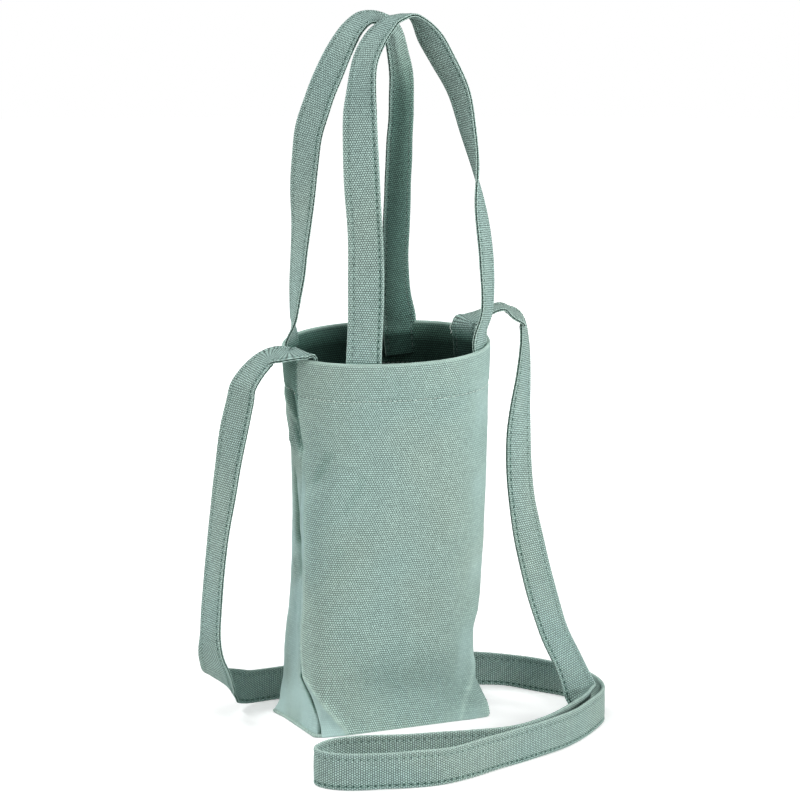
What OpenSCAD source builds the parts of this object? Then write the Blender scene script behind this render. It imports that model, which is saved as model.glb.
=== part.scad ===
/* [Bag] */
// Width of the flat base, side to side
base_w = 137; // [118:1:160]
// Depth of the flat base, front to back
base_d = 80; // [68:1:100]
// Height of the middle of the mouth above the floor
bag_h = 274; // [230:1:330]
// Long width of the open mouth
mouth_w = 148; // [130:1:172]
// Short width of the open mouth
mouth_d = 116; // [100:1:134]
// Turn of the mouth's long width about the upright axis, in degrees
mouth_turn = -20; // [-28:1:-8]
// How much higher the mouth's right side stands than its left side
side_rise = 10; // [2:1:16]
// How much higher the mouth's back stands than its front
back_rise = 12; // [4:1:18]
// Thickness of the canvas
cloth_t = 1.2; // [0.8:0.1:1.8]

/* [Hem and seams] */
// Depth of the hem that is turned into the mouth
hem_h = 28; // [20:1:38]
// Width of the seam allowance inside each side seam
seam_w = 9; // [6:0.5:12]
// Width of the seam allowance inside each boxed corner
corner_seam_w = 8; // [5:0.5:11]

/* [Handles] */
// Width of a handle strap
handle_w = 25; // [20:0.5:28]
// Thickness of a handle strap, four layers of canvas
handle_t = 2.6; // [2:0.1:3.2]
// Rise of a handle above the rim
handle_rise = 232; // [190:1:280]
// How far each handle leans over the mouth at its top
handle_lean = 33; // [28:1:34]
// Angle round the mouth from the middle of a handle to each of its ends
handle_angle = 40; // [34:1:44]
// Length of each handle and strap end that is sewn inside the hem
sewn_h = 23; // [16:1:30]

/* [Shoulder strap] */
// Width of the shoulder strap
strap_w = 25; // [20:0.5:28]
// Thickness of the shoulder strap, four layers of canvas
strap_t = 2.6; // [2:0.1:3.2]
// Height of the strap's crest over the rim on the left side
crest_left = 4; // [3.5:0.5:6]
// Height of the strap's arch over the rim on the right side
crest_right = 12; // [8:1:22]

/* [Hidden] */
// Clearance between layers of one body, and between bodies that move
lay_gap = 0.15;
move_gap = 0.4;
// Room above the rim in which a handle bends
fold_gap = 2.4;
// Angle from the mouth's long width to the side seams
seam_turn = 32;
front_middle = 263;
back_middle = 85;
// Angle that a panel stops short of its side seams
seam_angle = 0.15;
// Steps along and across the cloth
ring_step = 7.5;
wall_steps = 18;
hem_steps = 3;
// Form of the wall at rising heights, as shares: height, part of the way from the base's outline to
// the mouth's, swell of the width, swell of the depth, squareness, turn, and drift right and back
wall_shares = [
    [0, 0, 1, 1, 24, 0, 0, 0],
    [0.04, 0, 0.99, 1, 16, 0, 0, 0],
    [0.1, 0, 0.955, 1.05, 7, 0.02, -0.015, 0],
    [0.2, 0, 0.94, 1.12, 4.4, 0.06, -0.025, 0],
    [0.34, 0.1, 0.945, 1.14, 3.6, 0.15, 0.005, 0],
    [0.5, 0.25, 0.955, 1.12, 3.3, 0.35, 0.022, 0],
    [0.7, 0.5, 0.965, 1.08, 2.8, 0.6, 0.024, -0.01],
    [0.86, 0.78, 0.985, 1.03, 2.5, 0.85, 0.014, -0.02],
    [1, 1, 1, 1, 2.25, 1, 0.007, -0.025]
];
ink_front = [0.60, 0.69, 0.65];
ink_back = [0.55, 0.64, 0.60];
ink_base = [0.50, 0.59, 0.55];
ink_inside = [0.42, 0.52, 0.48];
ink_strap = [0.58, 0.67, 0.63];

// A smooth curve through four values, at share s of the way from b to c
function ease(a, b, c, d, s) =
    0.5 * (2 * b + (c - a) * s + (2 * a - 5 * b + 4 * c - d) * s * s
        + (3 * b - a - 3 * c + d) * s * s * s);
function row_at(rows, i) = rows[max(0, min(len(rows) - 1, i))];
function row_between(rows, i, s) =
    ease(row_at(rows, i - 1), row_at(rows, i), row_at(rows, i + 1), row_at(rows, i + 2), s);
function span_of(h, i = 0) =
    (i >= len(wall_shares) - 2 || h <= wall_shares[i + 1][0]) ? i : span_of(h, i + 1);
function wall_row(h) =
    let (i = span_of(h), low = wall_shares[i][0], high = wall_shares[i + 1][0])
    row_between(wall_shares, i, (h - low) / (high - low));

// Height of the cloth over the floor: the mouth stands higher on the right and at the back
function lift(h, x, y) =
    h * bag_h + pow(h, 3) * (side_rise * x / mouth_w + back_rise * y / mouth_d);

// Point of the wall at height share h and angle a from the right side seam, inset from the outside
function wall_point(h, a, inset) =
    let (
        row = wall_row(h),
        half_w = (base_w * (1 - row[1]) + mouth_w * row[1]) / 2 * row[2] - inset,
        half_d = (base_d * (1 - row[1]) + mouth_d * row[1]) / 2 * row[3] - inset,
        n = row[4],
        t = a + seam_turn * row[5],
        grow = pow(pow(abs(cos(t)), n) + pow(abs(sin(t)), n), -1 / n),
        px = half_w * cos(t) * grow,
        py = half_d * sin(t) * grow,
        turn = mouth_turn * row[5],
        x = px * cos(turn) - py * sin(turn) + row[6] * base_w,
        y = px * sin(turn) + py * cos(turn) + row[7] * base_d
    )
    [x, y, lift(h, x, y)];

function unit(v) = v / norm(v);
function hem_share() = 1 - hem_h / bag_h;

// A piece of cloth that follows the wall between two angles, two heights and two insets
module wall_patch(a0, a1, h0, h1, in0, in1, steps_a, steps_h) {
    na = steps_a + 1;
    nh = steps_h + 1;
    outside = [for (i = [0:steps_h], j = [0:steps_a])
        wall_point(h0 + (h1 - h0) * i / steps_h, a0 + (a1 - a0) * j / steps_a, in0)];
    inside = [for (i = [0:steps_h], j = [0:steps_a])
        wall_point(h0 + (h1 - h0) * i / steps_h, a0 + (a1 - a0) * j / steps_a, in1)];
    far = na * nh;
    skin = [for (i = [0:steps_h - 1], j = [0:steps_a - 1]) let (p = i * na + j) each [
        [p, p + na, p + 1], [p + 1, p + na, p + na + 1],
        [far + p, far + p + 1, far + p + na], [far + p + 1, far + p + na + 1, far + p + na]]];
    ends = [for (j = [0:steps_a - 1]) let (q = steps_h * na + j) each [
        [j, j + 1, far + j], [j + 1, far + j + 1, far + j],
        [q, far + q, q + 1], [q + 1, far + q, far + q + 1]]];
    sides = [for (i = [0:steps_h - 1]) let (p = i * na, q = i * na + steps_a) each [
        [p, far + p, p + na], [p + na, far + p, far + p + na],
        [q, q + na, far + q], [q + na, far + q + na, far + q]]];
    polyhedron(points = concat(outside, inside), faces = concat(skin, ends, sides), convexity = 8);
}

// Points of a strap's section, with its long edges rounded off
function strap_section(w, t) =
    let (c = t / 3)
    [[-w / 2 + c, -t / 2], [w / 2 - c, -t / 2], [w / 2, -t / 2 + c], [w / 2, t / 2 - c],
        [w / 2 - c, t / 2], [-w / 2 + c, t / 2], [-w / 2, t / 2 - c], [-w / 2, -t / 2 + c]];

// A flat strap swept along rows of x, y, z and the bearing and dip of its stitched edge
module ribbon(rows, w, t, steps) {
    fine = [for (i = [0:len(rows) - 2], k = [0:steps - 1]) row_between(rows, i, k / steps)];
    path = concat(fine, [rows[len(rows) - 1]]);
    last = len(path) - 1;
    at = [for (p = path) [p[0], p[1], p[2]]];
    section = strap_section(w, t);
    m = len(section);
    points = [for (i = [0:last]) let (
            along = unit(at[min(last, i + 1)] - at[max(0, i - 1)]),
            aim = [cos(path[i][4]) * cos(path[i][3]), cos(path[i][4]) * sin(path[i][3]), sin(path[i][4])],
            across = unit(aim - (aim * along) * along),
            out = cross(along, across))
        each [for (s = section) at[i] + s[0] * across + s[1] * out]];
    walls = [for (i = [0:last - 1], k = [0:m - 1]) let (a = i * m + k, b = i * m + (k + 1) % m) each [
        [a, a + m, b], [b, a + m, b + m]]];
    caps = [[for (k = [0:m - 1]) k], [for (k = [m - 1:-1:0]) last * m + k]];
    polyhedron(points = points, faces = concat(walls, caps), convexity = 10);
}

// Middle of a strap that lies inside the hem, at height share h and angle a
function end_inset(t) = cloth_t * 2 + 2 * lay_gap + t / 2;
function rim_bearing(a) =
    let (v = wall_point(1, a + 1, 0) - wall_point(1, a - 1, 0)) atan2(v[1], v[0]);
front_left_angle = front_middle - handle_angle;
front_right_angle = front_middle + handle_angle;
back_left_angle = back_middle + handle_angle;
back_right_angle = back_middle - handle_angle;

// Handle routes as shares: way from the left end to the right, lean, rise, then the bearing and dip
front_handle_shares = [
    [0, 0, 0, rim_bearing(front_left_angle), 0],
    [0.04, 0.12, 0.245, -36, 2],
    [0.06, 0.41, 0.495, -33, 1],
    [0.07, 0.61, 0.68, -38, 8],
    [0.1, 0.72, 0.785, -60, 6],
    [0.15, 0.84, 0.87, -77, -16],
    [0.25, 0.93, 0.933, -92, -26],
    [0.35, 0.94, 0.97, -100, -17],
    [0.44, 0.94, 0.99, -105, -6],
    [0.59, 0.94, 0.99, -103, 6],
    [0.71, 0.88, 0.925, -80, 22],
    [0.81, 0.8, 0.855, -77, 19],
    [0.93, 0.7, 0.757, -80, 9],
    [0.985, 0.53, 0.64, -91, 6],
    [1.03, 0.42, 0.53, -108, 7],
    [1.05, 0.25, 0.4, -132, 5],
    [1.07, 0.08, 0.25, -137, 6],
    [1.06, -0.03, 0.11, -133, 7],
    [1.008, 0, 0.035, rim_bearing(front_right_angle) - 179, -6],
    [1, 0, 0, rim_bearing(front_right_angle) - 180, -7]
];
back_handle_shares = [
    [0, 0, 0, rim_bearing(back_left_angle), -7],
    [0.025, 0.1, 0.17, -92, 7],
    [0.036, 0.27, 0.32, -84, 6],
    [0.036, 0.45, 0.485, -68, 4],
    [0.07, 0.61, 0.64, -64, -8],
    [0.21, 0.76, 0.79, -66, -15],
    [0.34, 0.85, 0.89, -75, -12],
    [0.42, 0.88, 0.94, -86, -16],
    [0.53, 0.89, 0.968, -97, -16],
    [0.66, 0.89, 0.955, -118, -16],
    [0.775, 0.87, 0.9, -141, -14],
    [0.85, 0.79, 0.82, -149, -4],
    [0.895, 0.69, 0.73, -156, 3],
    [0.907, 0.53, 0.565, -160, 3],
    [0.92, 0.36, 0.42, -163, 4],
    [0.945, 0.09, 0.13, -166, 5],
    [1, 0, 0, rim_bearing(back_right_angle) - 345, -3]
];

function handle_foot(a) =
    wall_point(1, a, end_inset(handle_t) + 2 * move_gap) + [0, 0, fold_gap];
function handle_rows(shares, left, right, lean) =
    [for (s = shares) concat(left + (right - left) * s[0] + [0, lean * s[1], handle_rise * s[2]],
        [s[3], s[4]])];
front_left = handle_foot(front_left_angle);
front_right = handle_foot(front_right_angle);
back_left = handle_foot(back_left_angle);
back_right = handle_foot(back_right_angle);

module sewn_ends(angles) {
    wide = handle_w / (mouth_w + mouth_d) * 4 / PI * 180;
    in0 = 2 * cloth_t + 3 * lay_gap;
    top = 1;
    for (a = angles)
        wall_patch(a - wide / 2, a + wide / 2, 1 - sewn_h / bag_h, top, in0, in0 + handle_t, 6, 3);
}

// Shoulder strap: how it hangs on each side, as shares of the base's width and depth and of the
// height of the rim, with the bearing and dip of its stitched edge
left_hang_shares = [
    [-0.635, 0, 0.985, -86, -8],
    [-0.708, 0, 0.967, -79, -10],
    [-0.781, 0, 0.92, -67, -5],
    [-0.803, 0, 0.88, -62, 2],
    [-0.843, 0, 0.79, -62, 4],
    [-0.888, 0, 0.655, -69, 8],
    [-0.937, 0, 0.48, -78, 10],
    [-0.972, 0, 0.295, -79, 7],
    [-0.967, 0.03, 0.201, -78, 10],
    [-0.909, 0.2, 0.125, -77, 12],
    [-0.828, 0.46, 0.068, -80, 0],
    [-0.745, 0.63, 0.041, -54, -50],
    [-0.62, 0.76, 0.008, 15, -70]
];
floor_shares = [
    [-0.453, 0.84, 0, 0, -90],
    [-0.2, 0.85, 0, -76, -90],
    [0.146, 0.8, 0, -76, -90],
    [0.51, 0.675, 0, -76, -90],
    [0.708, 0.51, 0, -76, -90],
    [0.869, 0.275, 0, -76, -90],
    [1.005, -0.125, 0, -76, -90],
    [1.067, -0.56, 0, -76, -90],
    [1, -1, 0, -76, -90],
    [0.818, -1.325, 0, -76, -90],
    [0.562, -1.64, 0, -60, -90],
    [0.18, -1.89, 0, -30, -90],
    [-0.18, -2.1, 0, 0, -90],
    [-0.42, -2.08, 0, 30, -90],
    [-0.613, -1.99, 0, 60, -90],
    [-0.745, -1.875, 0, 90, -90],
    [-0.803, -1.725, 0, 120, -90],
    [-0.774, -1.575, 0, 150, -90],
    [-0.628, -1.46, 0, 175, -90],
    [-0.336, -1.59, 0, 175, -90],
    [0, -1.725, 0, 175, -90],
    [0.22, -1.76, 0, 175, -90],
    [0.438, -1.66, 0, 175, -90],
    [0.63, -1.44, 0, 175, -90],
    [0.8, -1.22, 0, 175, -90],
    [0.9, -1.02, 0, 175, -82]
];
right_hang_shares = [
    [0.935, -0.78, 0.02, 177, -42],
    [0.886, -0.69, 0.1, 194, -16],
    [0.825, -0.56, 0.197, 188, -2],
    [0.766, -0.375, 0.377, 185, -2],
    [0.737, -0.25, 0.531, 194, 6],
    [0.752, -0.125, 0.666, 198, 7],
    [0.781, -0.06, 0.767, 209, 8],
    [0.818, 0, 0.865, 223, 9],
    [0.842, 0.07, 0.95, 233, 2],
    [0.835, 0.1, 1, 239, -5]
];
// How the strap passes over the rim on each side, as shares of its width away from the rim and of
// its crest's height above it
left_crest_shares = [
    [0.28, 0.93, -86, -6],
    [0, 1, -83, -6],
    [-0.26, 0.68, -75, -6]
];
right_crest_shares = [
    [1.25, 0.62, 240, -7],
    [0.9, 1, 238, -5],
    [0.42, 0.76, 252, -4],
    [0.06, 0.44, 276, -6],
    [-0.22, 0.24, 286, -6]
];
function hang_point(s, rim) =
    [s[0] * base_w, s[1] * base_d, strap_w / 2 + move_gap + s[2] * (rim - strap_w / 2), s[3], s[4]];
function strap_foot(a, drop) =
    let (spare = strap_w * strap_w / mouth_d / 2.2)
    wall_point(1 - drop / bag_h, a, end_inset(strap_t) + spare);
left_rim = wall_point(1, 180, 0);
right_rim = wall_point(1, 0, 0);
function crest_point(rim, s, side, crest) =
    [rim[0] + side * s[0] * strap_w, rim[1], rim[2] + s[1] * crest, s[2], s[3]];
strap_rows = concat(
    [for (drop = [sewn_h, sewn_h / 2]) concat(strap_foot(180, drop), [rim_bearing(180), -5])],
    [for (i = [len(left_crest_shares) - 1:-1:0]) crest_point(left_rim, left_crest_shares[i], -1, crest_left)],
    [for (s = concat(left_hang_shares, floor_shares)) hang_point(s, left_rim[2])],
    [for (s = right_hang_shares) hang_point(s, right_rim[2])],
    [for (s = right_crest_shares) crest_point(right_rim, s, 1, crest_right)],
    [for (drop = [sewn_h / 2, sewn_h]) concat(strap_foot(0, drop), [rim_bearing(0) + 180, -5])]
);

module front_panel() {
    color(ink_front) wall_patch(180 + seam_angle, 360 - seam_angle, 0, 1, 0, cloth_t, 24, wall_steps);
}

module back_panel() {
    color(ink_back) wall_patch(seam_angle, 180 - seam_angle, 0, 1, 0, cloth_t, 24, wall_steps);
}

module base_panel() {
    color(ink_base) linear_extrude(cloth_t)
        polygon([for (a = [0:ring_step:360 - ring_step]) let (p = wall_point(0, a, cloth_t + 2 * lay_gap))
            [p[0], p[1]]]);
}

module front_hem() {
    in0 = cloth_t + lay_gap;
    color(ink_inside)
        wall_patch(180 + seam_angle, 360 - seam_angle, hem_share(), 1, in0, in0 + cloth_t, 24, hem_steps);
}

module back_hem() {
    in0 = cloth_t + lay_gap;
    color(ink_inside)
        wall_patch(seam_angle, 180 - seam_angle, hem_share(), 1, in0, in0 + cloth_t, 24, hem_steps);
}

// The two layers of a side seam, pressed to one side and sewn under the hem
module side_seam(a) {
    wide = seam_w / (base_d / 2) * 45;
    low = (corner_seam_w + 2 * cloth_t) / bag_h;
    in0 = cloth_t + 4 * lay_gap;
    color(ink_inside)
        wall_patch(a, a + wide, low, hem_share() - lay_gap / bag_h, in0, in0 + 2 * cloth_t, 4, wall_steps);
}

module left_side_seam() { side_seam(180); }

module right_side_seam() { side_seam(0); }

// The two layers of a boxed corner's seam, along the end of the base
module corner_seam(side) {
    long = base_d * 0.86;
    low = cloth_t + lay_gap;
    stand = base_w / 2 - 4.5 * cloth_t - lay_gap;
    color(ink_inside) translate([side * (stand - cloth_t), 0, low])
        translate([0, 0, corner_seam_w / 2]) cube([2 * cloth_t, long, corner_seam_w], center = true);
}

module left_corner_seam() { corner_seam(-1); }

module right_corner_seam() { corner_seam(1); }

module front_handle() {
    color(ink_strap)
        ribbon(handle_rows(front_handle_shares, front_left, front_right, handle_lean), handle_w, handle_t, 4);
}

module front_handle_ends() {
    color(ink_strap)
        sewn_ends([front_left_angle, front_right_angle]);
}

module back_handle() {
    color(ink_back)
        ribbon(handle_rows(back_handle_shares, back_left, back_right, -handle_lean), handle_w, handle_t, 4);
}

module back_handle_ends() {
    color(ink_back)
        sewn_ends([back_left_angle, back_right_angle]);
}

module shoulder_strap() {
    color(ink_strap) ribbon(strap_rows, strap_w, strap_t, 2);
}

front_panel();
back_panel();
base_panel();
front_hem();
back_hem();
left_side_seam();
right_side_seam();
left_corner_seam();
right_corner_seam();
front_handle();
front_handle_ends();
back_handle();
back_handle_ends();
shoulder_strap();
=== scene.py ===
import math
from functools import partial

import bmesh
import bpy
import numpy as np
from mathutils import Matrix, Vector


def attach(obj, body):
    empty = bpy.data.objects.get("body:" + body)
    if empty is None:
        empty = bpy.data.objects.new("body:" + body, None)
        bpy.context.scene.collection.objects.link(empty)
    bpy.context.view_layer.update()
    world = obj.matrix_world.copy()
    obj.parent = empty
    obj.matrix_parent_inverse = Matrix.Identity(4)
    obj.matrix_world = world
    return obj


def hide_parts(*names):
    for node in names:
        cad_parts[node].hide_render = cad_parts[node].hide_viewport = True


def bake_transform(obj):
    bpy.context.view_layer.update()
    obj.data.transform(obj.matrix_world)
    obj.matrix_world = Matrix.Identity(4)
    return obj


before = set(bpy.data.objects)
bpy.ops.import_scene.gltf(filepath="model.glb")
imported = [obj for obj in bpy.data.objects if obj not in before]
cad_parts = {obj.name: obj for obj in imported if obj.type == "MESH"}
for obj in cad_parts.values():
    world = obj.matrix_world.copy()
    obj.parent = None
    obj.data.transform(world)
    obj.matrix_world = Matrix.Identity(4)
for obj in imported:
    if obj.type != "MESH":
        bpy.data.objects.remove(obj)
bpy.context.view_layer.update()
scene = bpy.context.scene
scene.view_settings.view_transform = "Standard"
millimetre = 0.001
print("frame loaded")

# Camera, at the place the bag was photographed from
cameraValues = {
    "target": (0.0128, 0.0, 0.2306),
    "azimuth": -24.7,
    "elevation": 9.9,
    "distance": 2.0,
    "lens": 126.0,
    "sensorWidth": 36.0,
    "clip": (0.05, 50),
}


def placeAt(name, data, target, azimuth, elevation, distance):
    # a camera or a lamp that looks at the target; azimuth 0 is straight in front of the bag
    turn, rise = math.radians(azimuth), math.radians(elevation)
    back = Vector((math.sin(turn) * math.cos(rise), -math.cos(turn) * math.cos(rise), math.sin(rise)))
    item = bpy.data.objects.new(name, data)
    item.location = Vector(target) + back * distance
    item.rotation_euler = back.to_track_quat("Z", "Y").to_euler()
    scene.collection.objects.link(item)
    return item


def makeCamera(values):
    data = bpy.data.cameras.new("viewCamera")
    data.lens = values["lens"]
    data.sensor_width = values["sensorWidth"]
    data.clip_start, data.clip_end = values["clip"]
    place = [values[key] for key in ("target", "azimuth", "elevation", "distance")]
    scene.camera = placeAt("viewCamera", data, *place)


makeCamera(cameraValues)
print("camera set")

# The bag's own sizes, the same as in the source of the solids
bagValues = {
    "baseWidth": 0.137,
    "baseDepth": 0.080,
    "height": 0.274,
    "mouthWidth": 0.148,
    "mouthDepth": 0.116,
    "mouthTurn": -20.0,
    "seamTurn": 32.0,
    "sideRise": 0.010,
    "backRise": 0.012,
    "clothThickness": 0.0012,
    "hemThickness": 0.00255,
    "hemDepth": 0.0305,
}

# Height share, part of the way to the mouth's outline, swell of width and depth, squareness,
# share of the turn, and drift to the right and to the back
wallLevels = np.array([
    [0, 0, 1, 1, 24, 0, 0, 0],
    [0.04, 0, 0.99, 1, 16, 0, 0, 0],
    [0.1, 0, 0.955, 1.05, 7, 0.02, -0.015, 0],
    [0.2, 0, 0.94, 1.12, 4.4, 0.06, -0.025, 0],
    [0.34, 0.1, 0.945, 1.14, 3.6, 0.15, 0.005, 0],
    [0.5, 0.25, 0.955, 1.12, 3.3, 0.35, 0.022, 0],
    [0.7, 0.5, 0.965, 1.08, 2.8, 0.6, 0.024, -0.01],
    [0.86, 0.78, 0.985, 1.03, 2.5, 0.85, 0.014, -0.02],
    [1, 1, 1, 1, 2.25, 1, 0.007, -0.025],
])


def easeRows(rows, index, share):
    # smooth curve through the rows, share of the way from one row to the next
    last = len(rows) - 1
    a, b, c, d = [rows[np.clip(index + k, 0, last)] for k in (-1, 0, 1, 2)]
    s = share[:, None]
    return 0.5 * (2 * b + (c - a) * s + (2 * a - 5 * b + 4 * c - d) * s * s
                  + (3 * b - a - 3 * c + d) * s * s * s)


def easeStep(value, start, end):
    # nought at the start, 1 at the end, and smooth between them
    t = np.clip((value - start) / (end - start), 0, 1)
    return t * t * (3 - 2 * t)


def bell(distance, width):
    return np.exp(-(distance / width) ** 2)


def unitRows(vectors):
    return vectors / np.linalg.norm(vectors, axis=-1, keepdims=True)


def wallForm(heightShare):
    flat = np.ravel(heightShare)
    index = np.clip(np.searchsorted(wallLevels[1:, 0], flat), 0, len(wallLevels) - 2)
    low, high = wallLevels[index, 0], wallLevels[index + 1, 0]
    form = easeRows(wallLevels, index, (flat - low) / (high - low))
    return [form[:, k].reshape(np.shape(heightShare)) for k in range(wallLevels.shape[1])]


def wallPoint(heightShare, angle, inset):
    # a point of the bag's wall; all three may be arrays of one shape
    v = bagValues
    heightShare, angle, inset = np.broadcast_arrays(
        np.asarray(heightShare, float), np.asarray(angle, float), np.asarray(inset, float))
    _, part, swellW, swellD, square, turned, right, behind = wallForm(heightShare)
    halfW = (v["baseWidth"] * (1 - part) + v["mouthWidth"] * part) / 2 * swellW - inset
    halfD = (v["baseDepth"] * (1 - part) + v["mouthDepth"] * part) / 2 * swellD - inset
    t = np.radians(angle + v["seamTurn"] * turned)
    grow = (np.abs(np.cos(t)) ** square + np.abs(np.sin(t)) ** square) ** (-1 / square)
    px, py = halfW * np.cos(t) * grow, halfD * np.sin(t) * grow
    turn = np.radians(v["mouthTurn"] * turned)
    x = px * np.cos(turn) - py * np.sin(turn) + right * v["baseWidth"]
    y = px * np.sin(turn) + py * np.cos(turn) + behind * v["baseDepth"]
    z = heightShare * v["height"] + heightShare ** 3 * (
        v["sideRise"] * x / v["mouthWidth"] + v["backRise"] * y / v["mouthDepth"])
    return np.stack([x, y, z], axis=-1)


def wallOutward(heightShare, angle):
    # the wall's outward direction, from points a little way off on each side
    turn, rise = 0.5, 0.002
    along = wallPoint(heightShare, angle + turn, 0) - wallPoint(heightShare, angle - turn, 0)
    up = wallPoint(heightShare + rise, angle, 0) - wallPoint(heightShare - rise, angle, 0)
    return unitRows(np.cross(along, up))


# Mesh helpers
def gridFaces(rows, columns, closed=False):
    i = np.arange(rows - 1)[:, None]
    j = np.arange(columns if closed else columns - 1)[None, :]
    k = (j + 1) % columns
    quads = np.stack([i * columns + j, i * columns + k, (i + 1) * columns + k, (i + 1) * columns + j], -1)
    return quads.reshape(-1, 4).tolist()


def tubeFaces(rows, columns):
    # a tube of rings, with a face over each end
    last = (rows - 1) * columns
    caps = [tuple(range(columns - 1, -1, -1)), tuple(range(last, last + columns))]
    return gridFaces(rows, columns, closed=True) + caps


def pointUv(faces, uv):
    # corner values from one value for each point
    return uv.reshape(-1, 2)[[corner for face in faces for corner in face]]


def makePiece(name, points, faces, cornerUv, material, cornerStitch=None, **shades):
    # a mesh with its maps; the shades are values on its points that its material reads
    mesh = bpy.data.meshes.new(name)
    mesh.from_pydata(points.reshape(-1, 3).tolist(), [], faces)
    for key, corners in (("cloth", cornerUv), ("stitchWay", cornerStitch)):
        if corners is not None:
            layer = mesh.uv_layers.new(name=key)
            layer.data.foreach_set("uv", np.asarray(corners, float).ravel())
    for key, values in shades.items():
        attribute = mesh.attributes.new(key, "FLOAT", "POINT")
        attribute.data.foreach_set("value", np.asarray(values, np.float32).ravel())
    mesh.materials.append(material)
    mesh.polygons.foreach_set("use_smooth", np.ones(len(mesh.polygons), bool))
    mesh.update()
    if mesh.validate():
        print("mesh of", name, "was mended")
    work = bmesh.new()
    work.from_mesh(mesh)
    bmesh.ops.recalc_face_normals(work, faces=work.faces)
    work.to_mesh(mesh)
    work.free()
    piece = bpy.data.objects.new(name, mesh)
    scene.collection.objects.link(piece)
    return piece


# The shade in the mouth: its middle, its outline, and where it sets in below the rim, in metres
mouthShade = {
    "middle": (0.001, -0.002),
    "square": 2.25,
    "outline": 1.03,  # share of the mouth's outline that it fills
    "outlineFade": 0.08,
    "above": 0.002,
    "fall": 0.012,
}


def insideShade(points):
    # how deep in the bag each point lies: nought outside or above the rim, 1 well down
    v, p = bagValues, mouthShade
    px, py, pz = points[..., 0], points[..., 1], points[..., 2]
    x, y = px - p["middle"][0], py - p["middle"][1]
    turn = math.radians(v["mouthTurn"])
    wide, deep = x * math.cos(turn) + y * math.sin(turn), y * math.cos(turn) - x * math.sin(turn)
    spread = ((np.abs(wide) / (v["mouthWidth"] / 2)) ** p["square"]
              + (np.abs(deep) / (v["mouthDepth"] / 2)) ** p["square"])
    rim = v["height"] + v["sideRise"] * px / v["mouthWidth"] + v["backRise"] * py / v["mouthDepth"]
    below = np.clip((rim - pz + p["above"]) / p["fall"], 0, 1)
    return below * np.clip((p["outline"] - spread) / p["outlineFade"], 0, 1)


def foldField(u, z, folds, fade=0.0):
    # folds in the cloth: each is a line from (u, z) to (u, z) with its width and its height at both ends
    total = np.zeros(np.shape(u))
    for u0, z0, u1, z1, width, rise0, rise1 in folds:
        du, dz = u1 - u0, z1 - z0
        t = np.clip(((u - u0) * du + (z - z0) * dz) / (du * du + dz * dz), 0, 1)
        away = np.hypot(u - u0 - t * du, z - z0 - t * dz)
        total = total + (rise0 + (rise1 - rise0) * t) * (1 - fade * (2 * t - 1) ** 2) * bell(away, width)
    return total


def softWaves(u, z, seed, size, count=9):
    # slow unevenness of hand-worked cloth
    pick = np.random.default_rng(seed)
    total = np.zeros(np.shape(u))
    for _ in range(count):
        turn, phase = pick.uniform(0, math.pi), pick.uniform(0, 2 * math.pi)
        pitch = size * pick.uniform(0.6, 1.6)
        total = total + np.sin((u * math.cos(turn) + z * math.sin(turn)) * 2 * math.pi / pitch + phase)
    return total / math.sqrt(count)


# Cloth and thread. The weave is drawn in metres on the cloth's own map
clothValues = {
    "pickWidth": 0.00170,  # from one raised thread to the next, across
    "rowHeight": 0.00155,
    "wobble": 0.00040,
    "wobbleStretch": (170, 170),
    "humpFall": (4.4, 3.8),  # how fast a raised thread falls off, across and along
    "humpEdge": (0.12, 1.25),
    "gapTone": 0.40,
    "threadTone": 1.30,
    "lively": 0.3,  # how much one thread's tone differs from the next
    # uneven yarn: changes in a metre each way, detail, and depth of tone
    "yarn": [((55, 620), 1.0, 0.18), ((560, 40), 1.0, 0.10), ((42, 36), 3.0, 0.12)],
    "broadStretch": (11, 9),
    "broadRange": (0.36, 0.64),
    "deepShade": 0.94,
    "deepTint": (0.58, 1.0, 0.86, 1),
    "paleShare": (0.8, 0.10),
    "paleLift": (1.55, 0.03),
    # painted glare: the cloth goes smooth and pale where it glares
    "glareSmooth": 1.2,
    "glareSmoothMost": 0.75,
    "glareColour": (0.46, 0.65, 0.65, 1),
    "glareRange": (0.45, 1.0, 0.0, 0.42),
    "roughness": (0.97, 0.84),  # in the gaps and on the threads
    "specular": 0.04,
    "sheen": 0.02,
    "sheenRoughness": 0.6,
    "bumpStrength": 0.6,
    "bumpDepth": 0.00035,
    "slubBump": 0.35,
    "holePitch": 0.0048,
    "holeSize": 0.00055,
    "holeEdge": (0.5, 1.6),
    "holeShade": 0.45,
}
canvasColours = {
    "bagCanvas": {"cool": (0.330, 0.470, 0.432), "warm": (0.348, 0.470, 0.418), "contrast": 1.1,
                  "holes": True},
    "strapCanvas": {"cool": (0.300, 0.430, 0.398), "warm": (0.322, 0.434, 0.388), "contrast": 1.28,
                    "holes": True},
    "insideCanvas": {"cool": (0.290, 0.405, 0.365), "warm": (0.315, 0.410, 0.358), "contrast": 0.9,
                     "holes": False},
}
threadValues = {
    "twist": 1400.0,  # ridges of the plies in a metre
    "plyTone": (0.7, 0.72),
    "plyRoughness": (-0.2, 0.75),
    "deepShade": 0.88,
    "specular": 0.2,
    "bumpStrength": 0.5,
    "bumpDepth": 0.0001,
}


def feed(tree, socket, value):
    if hasattr(value, "is_linked"):
        tree.links.new(value, socket)
    elif value is not None:
        socket.default_value = value


def addMath(tree, operation, first, second=None, third=None):
    node = tree.nodes.new("ShaderNodeMath")
    node.operation = operation
    for socket, value in zip(node.inputs, (first, second, third)):
        feed(tree, socket, value)
    return node.outputs[0]


def addShade(tree, tone, share, depth):
    # darkens the tone by the depth where the share is 1
    return addMath(tree, "MULTIPLY", tone, addMath(tree, "MULTIPLY_ADD", share, -depth, 1.0))


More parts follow.
